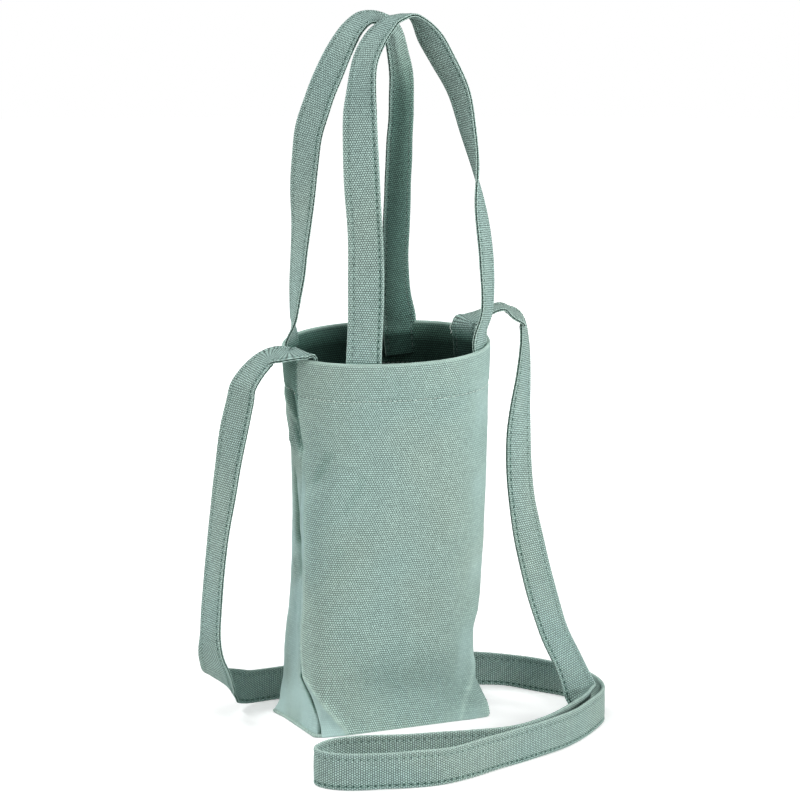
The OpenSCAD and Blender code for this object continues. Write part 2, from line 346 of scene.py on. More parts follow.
def addRange(tree, value, low, high, outLow=0.0, outHigh=1.0):
    node = tree.nodes.new("ShaderNodeMapRange")
    node.interpolation_type = "SMOOTHSTEP"
    ends = (("Value", value), ("From Min", low), ("From Max", high), ("To Min", outLow), ("To Max", outHigh))
    for key, part in ends:
        feed(tree, node.inputs[key], part)
    return node.outputs["Result"]


def addVectorMath(tree, operation, first, second):
    # the second is a vector, or the scale of the first
    node = tree.nodes.new("ShaderNodeVectorMath")
    node.operation = operation
    feed(tree, node.inputs[0], first)
    feed(tree, node.inputs["Scale" if operation == "SCALE" else 1], second)
    return node.outputs[0]


def addNoise(tree, vector, stretch, detail=2.0):
    # even noise from 0 to 1 on the cloth's map; stretch is how many times it changes in a metre, each way
    node = tree.nodes.new("ShaderNodeTexNoise")
    node.inputs["Scale"].default_value = 1
    node.inputs["Detail"].default_value = detail
    tree.links.new(addVectorMath(tree, "MULTIPLY", vector, (*stretch, 1)), node.inputs["Vector"])
    return node


def addAttribute(tree, name):
    node = tree.nodes.new("ShaderNodeAttribute")
    node.attribute_name = name
    return node.outputs["Fac"]


def addMap(tree, name):
    # one of the mesh's maps, whole and as its two ways
    clothMap = tree.nodes.new("ShaderNodeUVMap")
    clothMap.uv_map = name
    split = tree.nodes.new("ShaderNodeSeparateXYZ")
    tree.links.new(clothMap.outputs[0], split.inputs[0])
    return clothMap.outputs[0], split.outputs[0], split.outputs[1]


def addMix(tree, share, first, second, blend="MIX"):
    node = tree.nodes.new("ShaderNodeMix")
    node.data_type = "RGBA"
    node.blend_type = blend
    for k, value in ((0, share), (6, first), (7, second)):
        feed(tree, node.inputs[k], value)
    return node.outputs[2]


def addBump(tree, height, strength, depth):
    bump = tree.nodes.new("ShaderNodeBump")
    bump.inputs["Strength"].default_value = strength
    bump.inputs["Distance"].default_value = depth
    tree.links.new(height, bump.inputs["Height"])
    return bump.outputs[0]


def startMaterial(name):
    material = bpy.data.materials.new(name)
    material.use_nodes = True
    tree = material.node_tree
    return material, tree, tree.nodes["Principled BSDF"].inputs


def makeCanvas(name, cool, warm, contrast, holes):
    v = clothValues
    material, tree, shader = startMaterial(name)
    maths, ranged = partial(addMath, tree), partial(addRange, tree)
    clothUv, *place = addMap(tree, "cloth")
    wobble = tree.nodes.new("ShaderNodeSeparateColor")
    tree.links.new(addNoise(tree, clothUv, v["wobbleStretch"]).outputs["Color"], wobble.inputs[0])
    way = []
    for k, pitch in enumerate((v["pickWidth"], v["rowHeight"])):
        shift = maths("MULTIPLY_ADD", wobble.outputs[k], v["wobble"] * 2 / pitch, -v["wobble"] / pitch)
        way.append(maths("MULTIPLY_ADD", place[k], 1 / pitch, shift))
    # raised threads lie in rows, each row half a step on from the last
    row = maths("FLOOR", way[1])
    across = maths("MULTIPLY_ADD", maths("FLOORED_MODULO", row, 2.0), 0.5, way[0])
    fall = []
    for position, speed in zip((across, way[1]), v["humpFall"]):
        off = maths("ABSOLUTE", maths("ADD", maths("FRACT", position), -0.5))
        fall.append(maths("MULTIPLY", maths("POWER", off, 2.0), speed))
    thread = ranged(maths("ADD", *fall), *v["humpEdge"], 1.0, 0.0)
    # painted glare: the cloth is smooth and pale where the light washes it out
    paintedGlare = addAttribute(tree, "paintedGlare")
    smooth = maths("MINIMUM", maths("MULTIPLY", paintedGlare, v["glareSmooth"]), v["glareSmoothMost"])
    thread = maths("MULTIPLY_ADD", maths("SUBTRACT", 0.5, thread), smooth, thread)
    cell = tree.nodes.new("ShaderNodeCombineXYZ")
    tree.links.new(maths("FLOOR", across), cell.inputs[0])
    tree.links.new(row, cell.inputs[1])
    chance = tree.nodes.new("ShaderNodeTexWhiteNoise")
    chance.noise_dimensions = "2D"
    tree.links.new(cell.outputs[0], chance.inputs["Vector"])
    # tone: dark gaps, light threads, uneven yarn
    lively = maths("MULTIPLY_ADD", chance.outputs["Value"], v["lively"], 1 - v["lively"] / 2)
    high = maths("MULTIPLY", thread, lively)
    low, top = 1 - (1 - v["gapTone"]) * contrast, 1 + (v["threadTone"] - 1) * contrast
    tone = maths("MULTIPLY_ADD", high, top - low, low)
    noises = [addNoise(tree, clothUv, stretch, detail).outputs[0] for stretch, detail, _ in v["yarn"]]
    for noise, (_, _, depth) in zip(noises, v["yarn"]):
        tone = maths("MULTIPLY", tone, maths("MULTIPLY_ADD", noise, depth, 1 - depth / 2))
    slub = noises[0]
    # painted shade: the deep attribute darkens the cloth in the mouth, the grooves, the hollows, the slit and
    # on the shaded face
    deep = addAttribute(tree, "deep")
    tone = addShade(tree, tone, deep, v["deepShade"])
    if holes:
        _, toLine, along = addMap(tree, "stitchWay")
        beat = maths("PINGPONG", along, v["holePitch"] / 2)
        squares = [maths("POWER", side, 2.0) for side in (maths("ABSOLUTE", toLine), beat)]
        edge = [v["holeSize"] * share for share in v["holeEdge"]]
        pierced = ranged(maths("SQRT", maths("ADD", *squares)), *edge, 1.0, 0.0)
        tone = addShade(tree, tone, pierced, v["holeShade"])
    broad = addNoise(tree, clothUv, v["broadStretch"]).outputs[0]
    colour = addMix(tree, ranged(broad, *v["broadRange"]), (*cool, 1), (*warm, 1))
    colour = addVectorMath(tree, "SCALE", colour, tone)
    # deep inside, the little light there is has turned greener
    colour = addMix(tree, deep, colour, v["deepTint"], "MULTIPLY")
    # worn folds and painted highlights are paler
    wearAndHighlight = maths("MULTIPLY", addAttribute(tree, "foldEdge"), maths("MULTIPLY_ADD", slub, *v["paleShare"]))
    times, plus = v["paleLift"]
    pale = [min(1.0, part * times + plus) for part in warm]
    colour = addMix(tree, wearAndHighlight, colour, (*pale, 1))
    colour = addMix(tree, ranged(paintedGlare, *v["glareRange"]), colour, v["glareColour"])
    tree.links.new(colour, shader["Base Color"])
    tree.links.new(ranged(thread, 0.0, 1.0, *v["roughness"]), shader["Roughness"])
    shader["Specular IOR Level"].default_value = v["specular"]
    shader["Sheen Weight"].default_value = v["sheen"]
    shader["Sheen Roughness"].default_value = v["sheenRoughness"]
    height = maths("MULTIPLY_ADD", slub, v["slubBump"], high)
    tree.links.new(addBump(tree, height, v["bumpStrength"], v["bumpDepth"]), shader["Normal"])
    return material


def makeThread(name, colour):
    # sewing thread, two plies twisted together
    v = threadValues
    material, tree, shader = startMaterial(name)
    maths = partial(addMath, tree)
    _, around, along = addMap(tree, "cloth")
    turn = maths("MULTIPLY_ADD", along, v["twist"], maths("MULTIPLY", around, 2.0))
    ply = maths("PINGPONG", turn, 0.5)
    tone = maths("MULTIPLY_ADD", ply, *v["plyTone"])
    # painted shade on the thread, from the deep attribute
    tone = addShade(tree, tone, addAttribute(tree, "deep"), v["deepShade"])
    tree.links.new(addVectorMath(tree, "SCALE", colour, tone), shader["Base Color"])
    tree.links.new(maths("MULTIPLY_ADD", ply, *v["plyRoughness"]), shader["Roughness"])
    shader["Specular IOR Level"].default_value = v["specular"]
    tree.links.new(addBump(tree, ply, v["bumpStrength"], v["bumpDepth"]), shader["Normal"])
    return material


bagCanvas, strapCanvas, insideCanvas = [makeCanvas(name, **values) for name, values in canvasColours.items()]
seamThread = makeThread("seamThread", (0.36, 0.49, 0.45))
paleThread = makeThread("paleThread", (0.58, 0.70, 0.64))
print("cloth and thread mixed")


# Where the side seam runs: height in mm and angle round the bag. Low down it turns to the front corner
seamLine = np.array([
    [0, 225], [9, 222.5], [23, 210.5], [36, 195], [48, 190], [70, 184.5],
    [92, 180.5], [160, 180], [200, 183], [240, 181], [290, 180],
])


def seamAngle(z):
    offsets = np.array([-3, -1.5, 0, 1.5, 3])
    levels = np.clip(np.asarray(z)[..., None] / millimetre + offsets, 0, None)
    return np.interp(levels, seamLine[:, 0], seamLine[:, 1]).mean(axis=-1)


# Length round the bag from the left side at each height, read from a table
ringStart, ringStep = -60, 0.5
ringHeights = np.linspace(0, bagValues["height"], 138)
ringAngles = np.linspace(ringStart, 420, 961)
ringPoints = wallPoint(ringHeights[:, None] / bagValues["height"], ringAngles[None, :], 0)
ringSteps = np.linalg.norm(np.diff(ringPoints, axis=1), axis=2)
ringTable = np.concatenate([np.zeros((len(ringHeights), 1)), np.cumsum(ringSteps, axis=1)], axis=1)
ringTable = ringTable - ringTable[:, np.searchsorted(ringAngles, 180)][:, None]


def ringWay(z, angle):
    # metres round the cloth: nought at the left side, more towards the front
    z, angle = np.broadcast_arrays(np.asarray(z, float), np.asarray(angle, float))
    row = np.clip(z / bagValues["height"] * (len(ringHeights) - 1), 0, len(ringHeights) - 1.001)
    column = np.clip((angle - ringStart) / ringStep, 0, len(ringAngles) - 1.001)
    i, j = row.astype(int), column.astype(int)
    a, b = row - i, column - j
    return ((ringTable[i, j] * (1 - b) + ringTable[i, j + 1] * b) * (1 - a)
            + (ringTable[i + 1, j] * (1 - b) + ringTable[i + 1, j + 1] * b) * a)


# Folds of the cloth in mm: way round and height of both ends, width, and how far each end stands out
foldLines = {
    "leftHollows": [
        (-13, 241, -3, 206, 8, -4.4, -3.6), (-18, 178, -17, 138, 7, -3.2, -2.6),
        (-10, 132, -7, 112, 7, -1.6, -1.4), (-12, 84, -6, 50, 7, -1.6, -1.3),
    ],
    "leftRidges": [
        (-34, 238, -9, 222, 4, 0.7, 0.9), (-35, 223, -17, 208, 5, 0.7, 1.2), (-17, 208, -1, 199, 5, 1.3, 1.2),
        (-12, 190, -1, 159, 5, 0.8, 0.9), (-17, 118, -2, 74, 5, 1.5, 1.5),
    ],
    "cornerCrease": [
        (12, 40, 29, 32, 3.2, 0.4, 0.6), (29, 32, 41, 22, 3.2, 0.6, 0.7), (41, 22, 50, 12, 3.2, 0.7, 0.6),
        (50, 12, 58, 5, 3.2, 0.6, 0.2),
    ],
    "tuckEdge": [
        (10.7, 36, 25, 23, 4, 0.5, 0.6), (25, 23, 36.5, 9, 4, 0.6, 0.6), (36.5, 9, 40.8, 3, 4, 0.6, 0.3),
    ],
    "baseFlare": [(-40, 0, -27, 1, 6, 2.6, 0.8)],
    "rightFold": [
        (141, 110, 152, 42, 6, 0.4, 0.8), (152, 42, 157, 4, 5, 0.9, 0.8), (143, 52, 149, 10, 5, -0.5, -0.6),
        (161, 66, 168, 12, 8, -1.7, -2.2),
    ],
    "backFolds": [
        (-92, 190, -84, 120, 11, 1.0, 0.7), (-118, 70, -104, 24, 12, -0.9, -0.6),
        (-150, 200, -160, 150, 9, -1.0, -0.8),
    ],
    "rightHollows": [(-196, 236, -203, 205, 8, -2.2, -1.8), (-186, 214, -205, 196, 5, 0.9, 0.9)],
}

# The front panel's slow folds, which die out towards their ends
frontFolds = [
    (3, 168, 34, 205, 7, -1.7, -1.2), (25, 165, 46, 200, 7, 1.2, 1.1), (43, 158, 69, 216, 8, -1.5, -1.0),
    (60, 154, 83, 208, 9, 1.1, 0.9), (8, 196, 58, 219, 6, -0.8, -0.6), (45, 60, 152, 52, 16, 2.0, 1.7),
    (62, 30, 138, 26, 11, -3.0, -2.6), (12, 185, 13, 52, 12, 2.2, 2.2), (36, 178, 38, 60, 12, -1.0, -0.9),
]

# Folds where the cloth is worn pale and carries a painted highlight, without a form of their own
paleCreaseLines = [
    (9, 190, 9, 60, 1.5, 0.2, 0.6), (9, 60, 12, 40, 1.5, 0.6, 0.9), (12, 40, 21, 36, 1.5, 0.8, 0.8),
    (21, 36, 29, 32, 1.5, 0.8, 0.8), (29, 32, 40, 23, 1.5, 0.8, 0.8), (40, 23, 50, 12, 1.5, 0.8, 0.8),
    (50, 12, 59, 3, 1.5, 0.8, 0.6), (152.5, 52, 151, 25, 1.6, 0.2, 0.7), (151, 25, 149, 3, 1.6, 0.7, 0.6),
]

# Small forms of the cloth, in mm
foldValues = {
    "frontFade": 0.8,
    "hemStitchDrop": 28.5,  # below the rim
    "hemGroove": 0.4,
    "grooveWidth": 1.3,
    "hemStand": 0.25,  # how far the doubled hem stands out
    "hemEnds": (2, 1.5, 6),  # how it sets in above the stitches, and where and how it ends below the rim
    "pucker": {"height": 0.11, "pitch": 7.3, "drift": 19, "width": 7},
    "slowWave": {"height": 0.42, "seed": 4, "size": 62, "rise": 0.6},
    "quickWave": {"height": 0.10, "seed": 9, "size": 17, "rise": 1},
    "calm": (25, 40),  # the waves die out this near the base and the rim
}

# The flat facet at the front left corner, between the crease and the slit: heights in mm, ways round
facetValues = {
    "heights": (0, 3, 9, 12, 23, 32, 36, 40),
    "crease": (60, 59, 53, 50, 40, 29, 21, 12),
    "slit": (42, 40.8, 36.5, 34.3, 25, 14.5, 10.7, 8),
    "depth": 4.2,
    "top": (41, 22),
    "footShare": 0.35,
    "footHeight": 9,
    "behind": 17,
}


def cornerFacet(s, level):
    v = facetValues
    crease = np.interp(level, v["heights"], v["crease"])
    slit = np.interp(level, v["heights"], v["slit"])
    foot = v["footShare"] + (1 - v["footShare"]) * easeStep(level, 0, v["footHeight"])
    depth = v["depth"] * easeStep(level, *v["top"]) * foot
    ahead = np.clip((crease - s) / np.maximum(crease - slit, 1), 0, 1)
    behind = 1 - easeStep(s, slit, slit - v["behind"])
    return depth * ahead * behind


# The shaded hollow high on the left side, above a crease with a painted highlight: ways round and heights of
# the crease in mm
hollowValues = {
    "way": (-42, -34, -20, -9, -4, 0),
    "height": (246, 239, 230, 222, 209, 197),
    "ends": ((0.8, -2.0), (-46, -36)),
    "above": (0.5, 6),
    "creaseWidth": 1.4,
}


def leftHollow(s, level):
    # how far in the hollow, and how near its crease
    v = hollowValues
    above = level - np.interp(s, v["way"], v["height"])
    across = easeStep(s, *v["ends"][0]) * easeStep(s, *v["ends"][1])
    return easeStep(above, *v["above"]) * across, bell(above, v["creaseWidth"]) * across


def clothWave(s, level, height, seed, size, rise):
    return height * softWaves(s, level * rise, seed, size)


def clothPush(z, angle):
    # how far the cloth stands out of its plain form, in metres
    v = foldValues
    s, level = ringWay(z, angle) / millimetre, np.asarray(z) / millimetre
    rim = bagValues["height"] / millimetre
    total = sum(foldField(s, level, lines) for lines in foldLines.values())
    total = total + foldField(s, level, frontFolds, v["frontFade"]) - cornerFacet(s, level)
    calm = np.clip(level / v["calm"][0], 0, 1) * np.clip((rim - level) / v["calm"][1], 0, 1)
    total = total + calm * (clothWave(s, level, **v["slowWave"]) + clothWave(s, level, **v["quickWave"]))
    drop, stitchDrop = rim - level, v["hemStitchDrop"]
    groove = bell(drop - stitchDrop, v["grooveWidth"])
    p = v["pucker"]
    pucker = np.sin(s * 2 * math.pi / p["pitch"] + np.sin(s / p["drift"]))
    pucker = pucker * bell(drop - stitchDrop, p["width"])
    start, end, ease = v["hemEnds"]
    hemZone = np.clip((stitchDrop - drop) / start, 0, 1) * np.clip((drop - end) / ease, 0, 1)
    total = total - v["hemGroove"] * groove + p["height"] * pucker + v["hemStand"] * hemZone
    return total * millimetre


def clothPoint(z, angle, inset):
    return wallPoint(np.asarray(z) / bagValues["height"], angle, inset - clothPush(z, angle))


# Front and back panels, each turned over at the mouth into its hem
panelValues = {
    "columns": 118,
    "edgeSteps": [0, 0.08, 0.3, 0.62, 1.05, 1.7, 2.6, 3.8],  # columns beside a seam, in mm from it
    "underlapSteps": [1, 0.66, 0.33],
    # rows up the panel in mm: close at the floor, then first step, end below the rim and step of each band
    "lowRows": [0, 0.25, 0.6, 1.1, 1.7, 2.5, 3.5, 5],
    "bands": [(1.8, 33, 1.8), (1.4, 24, 0.6), (1.6, 4, 1.7)],
    "topDrops": [2.6, 1.6],
    "edgeRadius": 0.0011,
    "bottomRadius": 0.0017,
    "leastThickness": 0.0003,
    "hemStart": (0.0018, 0.0006),
    "underlap": 0.0010,
    "underlapLift": 0.12,
    "seamDepth": 0.0014,
    "seamWidth": 0.0012,
    "tuckHeights": (0.050, 0.034),  # from here down the seam widens into the corner's tuck
    "tuckUnderlap": 0.0035,
    "tuckDepth": 0.0046,
    "tuckWidth": 0.0035,
    "gape": 0.0006,  # how far the front edge lifts off the tuck
    "gapeHeights": ((0.043, 0.029), (0.001, 0.009)),
    "gapeWidth": 0.0055,
    "rimRise": 0.0012,
    "rimRows": 7,
    "rimMap": 0.0018,
    "mapGap": 0.002,
    "innerAway": 0.02,  # the inner face counts as this much farther from the seams
    "backMap": 0.7,  # where the back panel's cloth starts on the map
}


def panelRows():
    p = panelValues
    rim = bagValues["height"] / millimetre
    rows = list(p["lowRows"])
    for first, end, step in p["bands"]:
        rows.extend(np.arange(rows[-1] + first, rim - end, step))
    return np.array(rows + [rim - drop for drop in p["topDrops"]]) * millimetre


def panelThickness(z):
    v = bagValues
    inHem = easeStep(z, *[v["height"] - v["hemDepth"] - ease for ease in panelValues["hemStart"]])
    return v["clothThickness"] + (v["hemThickness"] - v["clothThickness"]) * inHem


def panelColumns(z, isFront):
    # the angle of each point and its way from the nearer seam, with columns close together beside the seams
    p = panelValues
    seam = seamAngle(z)
    start, end = (seam, 540 - seam) if isFront else (180 - seam, seam)
    speedStart, speedEnd = [(ringWay(z, side + 1) - ringWay(z, side - 1)) / 2 for side in (start, end)]
    edge = np.broadcast_to(np.array(p["edgeSteps"]) * millimetre, (len(z), len(p["edgeSteps"])))
    if not isFront:
        tuck = easeStep(z, *p["tuckHeights"])
        reach = (p["underlap"] + (p["tuckUnderlap"] - p["underlap"]) * tuck)[:, None]
        edge = np.concatenate([-reach * share for share in p["underlapSteps"]] + [edge], axis=1)
    first = start[:, None] + edge / speedStart[:, None]
    final = end[:, None] - edge[:, ::-1] / speedEnd[:, None]
    middle = first[:, -1:] + (final[:, :1] - first[:, -1:]) * np.linspace(0, 1, p["columns"])[None, :]
    angle = np.concatenate([first[:, :-1], middle, final[:, 1:]], axis=1)
    away = np.concatenate([edge[:, :-1], np.ones(middle.shape), edge[:, ::-1][:, 1:]], axis=1)
    return angle, away


def panelInsets(z, angle, away, isFront):
    # how far in the outer and the inner face lie; the front's edge is rounded and the back's dips under it
    v, p = bagValues, panelValues
    thick, fromEdge = panelThickness(z)[:, None], np.clip(away, 0, None)
    if isFront:
        r = p["edgeRadius"]
        near = np.clip(r - away, 0, r)
        high, low = p["gapeHeights"]
        gape = p["gape"] * easeStep(z, *high) * easeStep(z, *low)
        lift = gape[:, None] * bell(fromEdge, p["gapeWidth"]) * (angle < 270)
        outer = r - np.sqrt(np.maximum(r * r - near * near, 0)) - lift
        inner = thick - lift
    else:
        tuck = easeStep(z, *p["tuckHeights"])[:, None]
        deep = p["seamDepth"] + (thick - v["clothThickness"]) + (p["tuckDepth"] - p["seamDepth"]) * tuck
        wide = p["seamWidth"] + p["tuckWidth"] * tuck
        outer = deep * bell(fromEdge, wide) + np.clip(-away, 0, None) * p["underlapLift"]
        inner = outer + thick
    r = p["bottomRadius"]
    bottom = np.clip(r - z, 0, r)[:, None]
    outer = outer + r - np.sqrt(r ** 2 - bottom ** 2)
    return outer, np.maximum(inner, outer + p["leastThickness"])


def rimRings(angle, outer, inner):
    # the cloth's turn over the mouth
    p, half, rings = panelValues, (inner - outer) / 2, []
    for k in range(1, p["rimRows"]):
        bend = math.pi * k / p["rimRows"]
        level = np.full(half.shape, bagValues["height"] - p["rimRise"]) + p["rimRise"] * math.sin(bend)
        rings.append(clothPoint(level, angle, outer + half * (1 - math.cos(bend))))
    return rings


def panelFaces(rows, columns, height):
    # the two faces as one grid, closed below and along both seams
    faces = gridFaces(rows, columns)
    last = (rows - 1) * columns
    faces += [(last + j, last + j + 1, j + 1, j) for j in range(columns - 1)]
    for column in (0, columns - 1):
        strip = []
        for i in range(height - 1):
            a, b = i * columns + column, (i + 1) * columns + column
            c, d = (rows - 2 - i) * columns + column, (rows - 1 - i) * columns + column
            strip.append((a, b, c, d))
        strip.append(tuple(i * columns + column for i in range(height - 1, rows - height + 1)))
        faces += [face[::-1] for face in strip] if column else strip
    return faces


# Where the panels' cloth is worn, and where highlight, shade and glare are painted on it
wearValues = {
    # pale edges: wear and a painted highlight along the rim, the seams and the foot
    "paleEdges": ((1.0, 0.0013), (1.0, 0.0012), (0.7, 0.0015)),  # rim, seam and foot: share, width in metres
    "facetHighlight": 0.3,
    "hollowCreaseHighlight": 0.9,
    # painted shade in the slit beside the front's edge
    "slit": (0.0007, 0.0022, 0.0052),  # width in metres: everywhere, more at the left, more again at the tuck
    "slitTuck": (0.012, 0.027),
    "slitTop": (0.043, 0.036),
    "slitEdge": (0.35, 1.3),
    "hollowShade": 0.44,
    "dentShade": 0.8,  # in the dents deeper than the first value, all of it past the sum of both, in mm
    "dentDepths": (0.8, 3.2),
    "dentLow": 0.08,
    # painted glare, from the crease round the left end and at the right edge
    "glareCrease": (1, -3),  # mm from the crease
    "glareLowCrease": (60, 9),  # height and way of the crease above the facet
    "glareBack": (-84, -32),
    "glareTop": (0.215, 0.175),
    "glareRight": (0.62, 112, 146),
    "glareWaves": (0.86, 0.2, 700, 61, 30),  # least share, depth, mm of way to a metre's rise, seed, size
    "insideShade": (0.62, 0.34, 0.014),
    "insideGlow": (0.36, 0.026, 0.075),  # light that comes back from below the hem
    "rimShade": 0.3,
}


def panelWear(zGrid, angle, away, level, allAngle, farEdge, isFront):
    # the shades of every point: pale with wear and painted highlight, painted shade, and painted glare
    p, rim, count = wearValues, bagValues["height"], len(zGrid)
    s, height = ringWay(level, allAngle) / millimetre, level / millimetre
    fromEdges = (rim - level, farEdge, level)
    wearAndHighlight = sum(share * bell(far, width) for far, (share, width) in zip(fromEdges, p["paleEdges"]))
    wearAndHighlight = wearAndHighlight + p["facetHighlight"] * cornerFacet(s, height) / facetValues["depth"]
    wearAndHighlight = wearAndHighlight + foldField(s, height, paleCreaseLines)
    plain, left, tuck = p["slit"]
    low = (left + tuck * easeStep(level, *p["slitTuck"])) * easeStep(level, *p["slitTop"])
    slit = plain + low * (allAngle > 90)
    fromSlit = farEdge.copy()
    fromSlit[:count] = np.where(angle > 90, ringWay(zGrid, seamAngle(zGrid)) - ringWay(zGrid, angle), away)
    inner, outer = p["slitEdge"]
    paintedShade = (1 - easeStep(fromSlit, inner * slit, outer * slit)) * (0 if isFront else 1)
    # painted glare, pale smooth cloth from the crease round the left end, and at the right edge
    top, way = p["glareLowCrease"]
    crease = np.interp(height, facetValues["heights"] + (top,), facetValues["crease"] + (way,))
    near, far = p["glareCrease"]
    paintedGlare = easeStep(s, crease + near, crease + far)
    paintedGlare = paintedGlare * easeStep(s, *p["glareBack"]) * easeStep(level, *p["glareTop"])
    share, start, end = p["glareRight"]
    paintedGlare = paintedGlare + share * easeStep(s, start, end) * (s > 0)
    least, depth, rise, seed, size = p["glareWaves"]
    paintedGlare = paintedGlare * (least + depth * softWaves(s, level * rise, seed, size))
    paintedGlare[count:] = 0
    # painted shade in the outer face's hollows and dents, and a painted highlight along the hollow's crease
    hollow, hollowCrease = leftHollow(ringWay(zGrid, angle) / millimetre, zGrid / millimetre)
    shallow, more = p["dentDepths"]
    dent = np.clip((-clothPush(zGrid, angle) / millimetre - shallow) / more, 0, 1) * (zGrid > p["dentLow"])
    paintedShade[:count] = np.maximum.reduce([paintedShade[:count], p["hollowShade"] * hollow, p["dentShade"] * dent])
    wearAndHighlight[:count] += p["hollowCreaseHighlight"] * hollowCrease
    paintedGlare[:count] *= 1 - paintedShade[:count]
    # painted shade on the inner face, darker from the rim down, and on the turn between the two
    drop = rim - level[-count:]
    least, more, depth = p["insideShade"]
    glow, start, end = p["insideGlow"]
    inside = least + more * np.clip(drop / depth, 0, 1) - glow * easeStep(drop, start, end)
    paintedShade[-count:] = np.maximum(paintedShade[-count:], inside)
    paintedShade[count + 2:-count] = np.maximum(paintedShade[count + 2:-count], p["rimShade"])
    return {"foldEdge": np.clip(wearAndHighlight, 0, 1), "deep": paintedShade, "paintedGlare": np.clip(paintedGlare, 0, 1)}


def makePanel(name, isFront):
    p, rim, z = panelValues, bagValues["height"], panelRows()
    angle, away = panelColumns(z, isFront)
    outer, inner = panelInsets(z, angle, away, isFront)
    zGrid = np.broadcast_to(z[:, None], angle.shape)

    def loopOf(face, back, turned=None):
        # up the outer face, over the rim and down the inner face
        turned = [face[-1:]] * (p["rimRows"] - 1) if turned is None else turned
        return np.concatenate([face] + turned + [back[::-1]], axis=0)

    rings = rimRings(angle[-1:], outer[-1:], inner[-1:])
    points = loopOf(clothPoint(zGrid, angle, outer), clothPoint(zGrid, angle, inner), rings)
    faces = panelFaces(*points.shape[:2], len(z))
    across = ringWay(zGrid, angle) - ringWay(z, 270 if isFront else 90)[:, None]
    u = loopOf(across, across)
    flat = np.ones((1, angle.shape[1]))
    mapRim = [flat * (rim + p["rimMap"] * k / p["rimRows"]) for k in range(1, p["rimRows"])]
    w = loopOf(zGrid, 2 * rim + p["mapGap"] - zGrid, mapRim)
    uv = np.stack([u + (0 if isFront else p["backMap"]), w], axis=-1)
    level = loopOf(zGrid, zGrid, [flat * rim] * (p["rimRows"] - 1))
    stitchLevel = level - (rim - foldValues["hemStitchDrop"] * millimetre)
    stitch = np.stack([stitchLevel, u * clothValues["holePitch"] / hemStitch["pitch"]], axis=-1)
    farEdge = loopOf(away, away + p["innerAway"])
    wear = panelWear(zGrid, angle, away, level, loopOf(angle, angle), farEdge, isFront)
    return makePiece(name, points, faces, pointUv(faces, uv), bagCanvas, pointUv(faces, stitch), **wear)


# Base, a doubled edge that shows a little at the left end
baseValues = {
    "inset": 0.0020,
    "lipOut": 0.0017,  # how far the lip stands out at the ends
    "rightShare": 0.6,
    "tipOut": 0.0034,  # and at the back left corner
    "tipAngle": 138,
    "tipWidth": 9,
    "leftEnd": (128, 140, 218, 226),
    "rightEnd": (314, 326, 34, 46),
    "thickness": 0.0022,
    "lift": 0.0002,
    "angleStep": 1.5,
    "edgeRows": 9,
    "inward": (0.25, 0.5, 0.75, 0.92),
    "edgeWearAndHighlight": 0.9,
    "insideShade": 0.6,
}


def makeBase():
    v = baseValues
    angle = np.arange(0, 360, v["angleStep"])
    a, b, c, d = v["leftEnd"]
    leftEnd = easeStep(angle, a, b) * (1 - easeStep(angle, c, d))
    a, b, c, d = v["rightEnd"]
    rightEnd = np.clip(easeStep(angle, a, b) + 1 - easeStep(angle, c, d), 0, 1)
    tip = bell(angle - v["tipAngle"], v["tipWidth"])
    out = -v["inset"] + (v["inset"] + v["lipOut"]) * np.maximum(leftEnd, rightEnd * v["rightShare"])
    out = out + (v["tipOut"] - v["lipOut"]) * tip
    r = v["thickness"] / 2
    rings = []
    for bend in np.radians(np.linspace(-90, 90, v["edgeRows"])):
        point = wallPoint(0, angle, -(out - r + r * math.cos(bend)))
        point[:, 2] = v["lift"] + r + r * math.sin(bend)
        rings.append(point)
    lower = [rings[0] * [share, share, 1] for share in v["inward"]]
    upper = [rings[-1] * [share, share, 1] for share in v["inward"][::-1]]
    points = np.stack(lower + rings + upper)
    rows, columns = points.shape[:2]
    faces = tubeFaces(rows, columns)
    spare = [0.0] * len(lower)
    # the edge is pale with wear and a painted highlight; the inner face has painted shade
    wearAndHighlight = np.repeat(spare + [v["edgeWearAndHighlight"]] * v["edgeRows"] + spare, columns)
    paintedShade = np.repeat(spare + [0.0] * v["edgeRows"] + [v["insideShade"]] * len(upper), columns)
    uv = pointUv(faces, points[..., :2])
    return makePiece("basePanel", points, faces, uv, bagCanvas, foldEdge=wearAndHighlight, deep=paintedShade)


# Sewing thread, each stitch a short arched length, in metres
strapStitch = {"length": 0.0036, "radius": 0.00024, "arch": 0.00016, "stray": 0, "height": 0.00090}
hemStitch = {"pitch": 0.0036, "length": 0.0025, "radius": 0.00030, "arch": 0.00020, "stray": 0.00028}
overcastStitch = {"length": 0.0030, "radius": 0.00026, "arch": 0.00014, "stray": 0}
stitchForm = {
    "along": np.array([-1, -0.8, -0.4, 0.4, 0.8, 1.0]),
    "thin": np.array([0.4, 0.88, 1, 1, 0.88, 0.4]),
    "droop": 1.9,
    "sides": 6,
    "lengths": (0.88, 1.08),
    "skew": 0.13,
    "insideShade": 0.95,
}


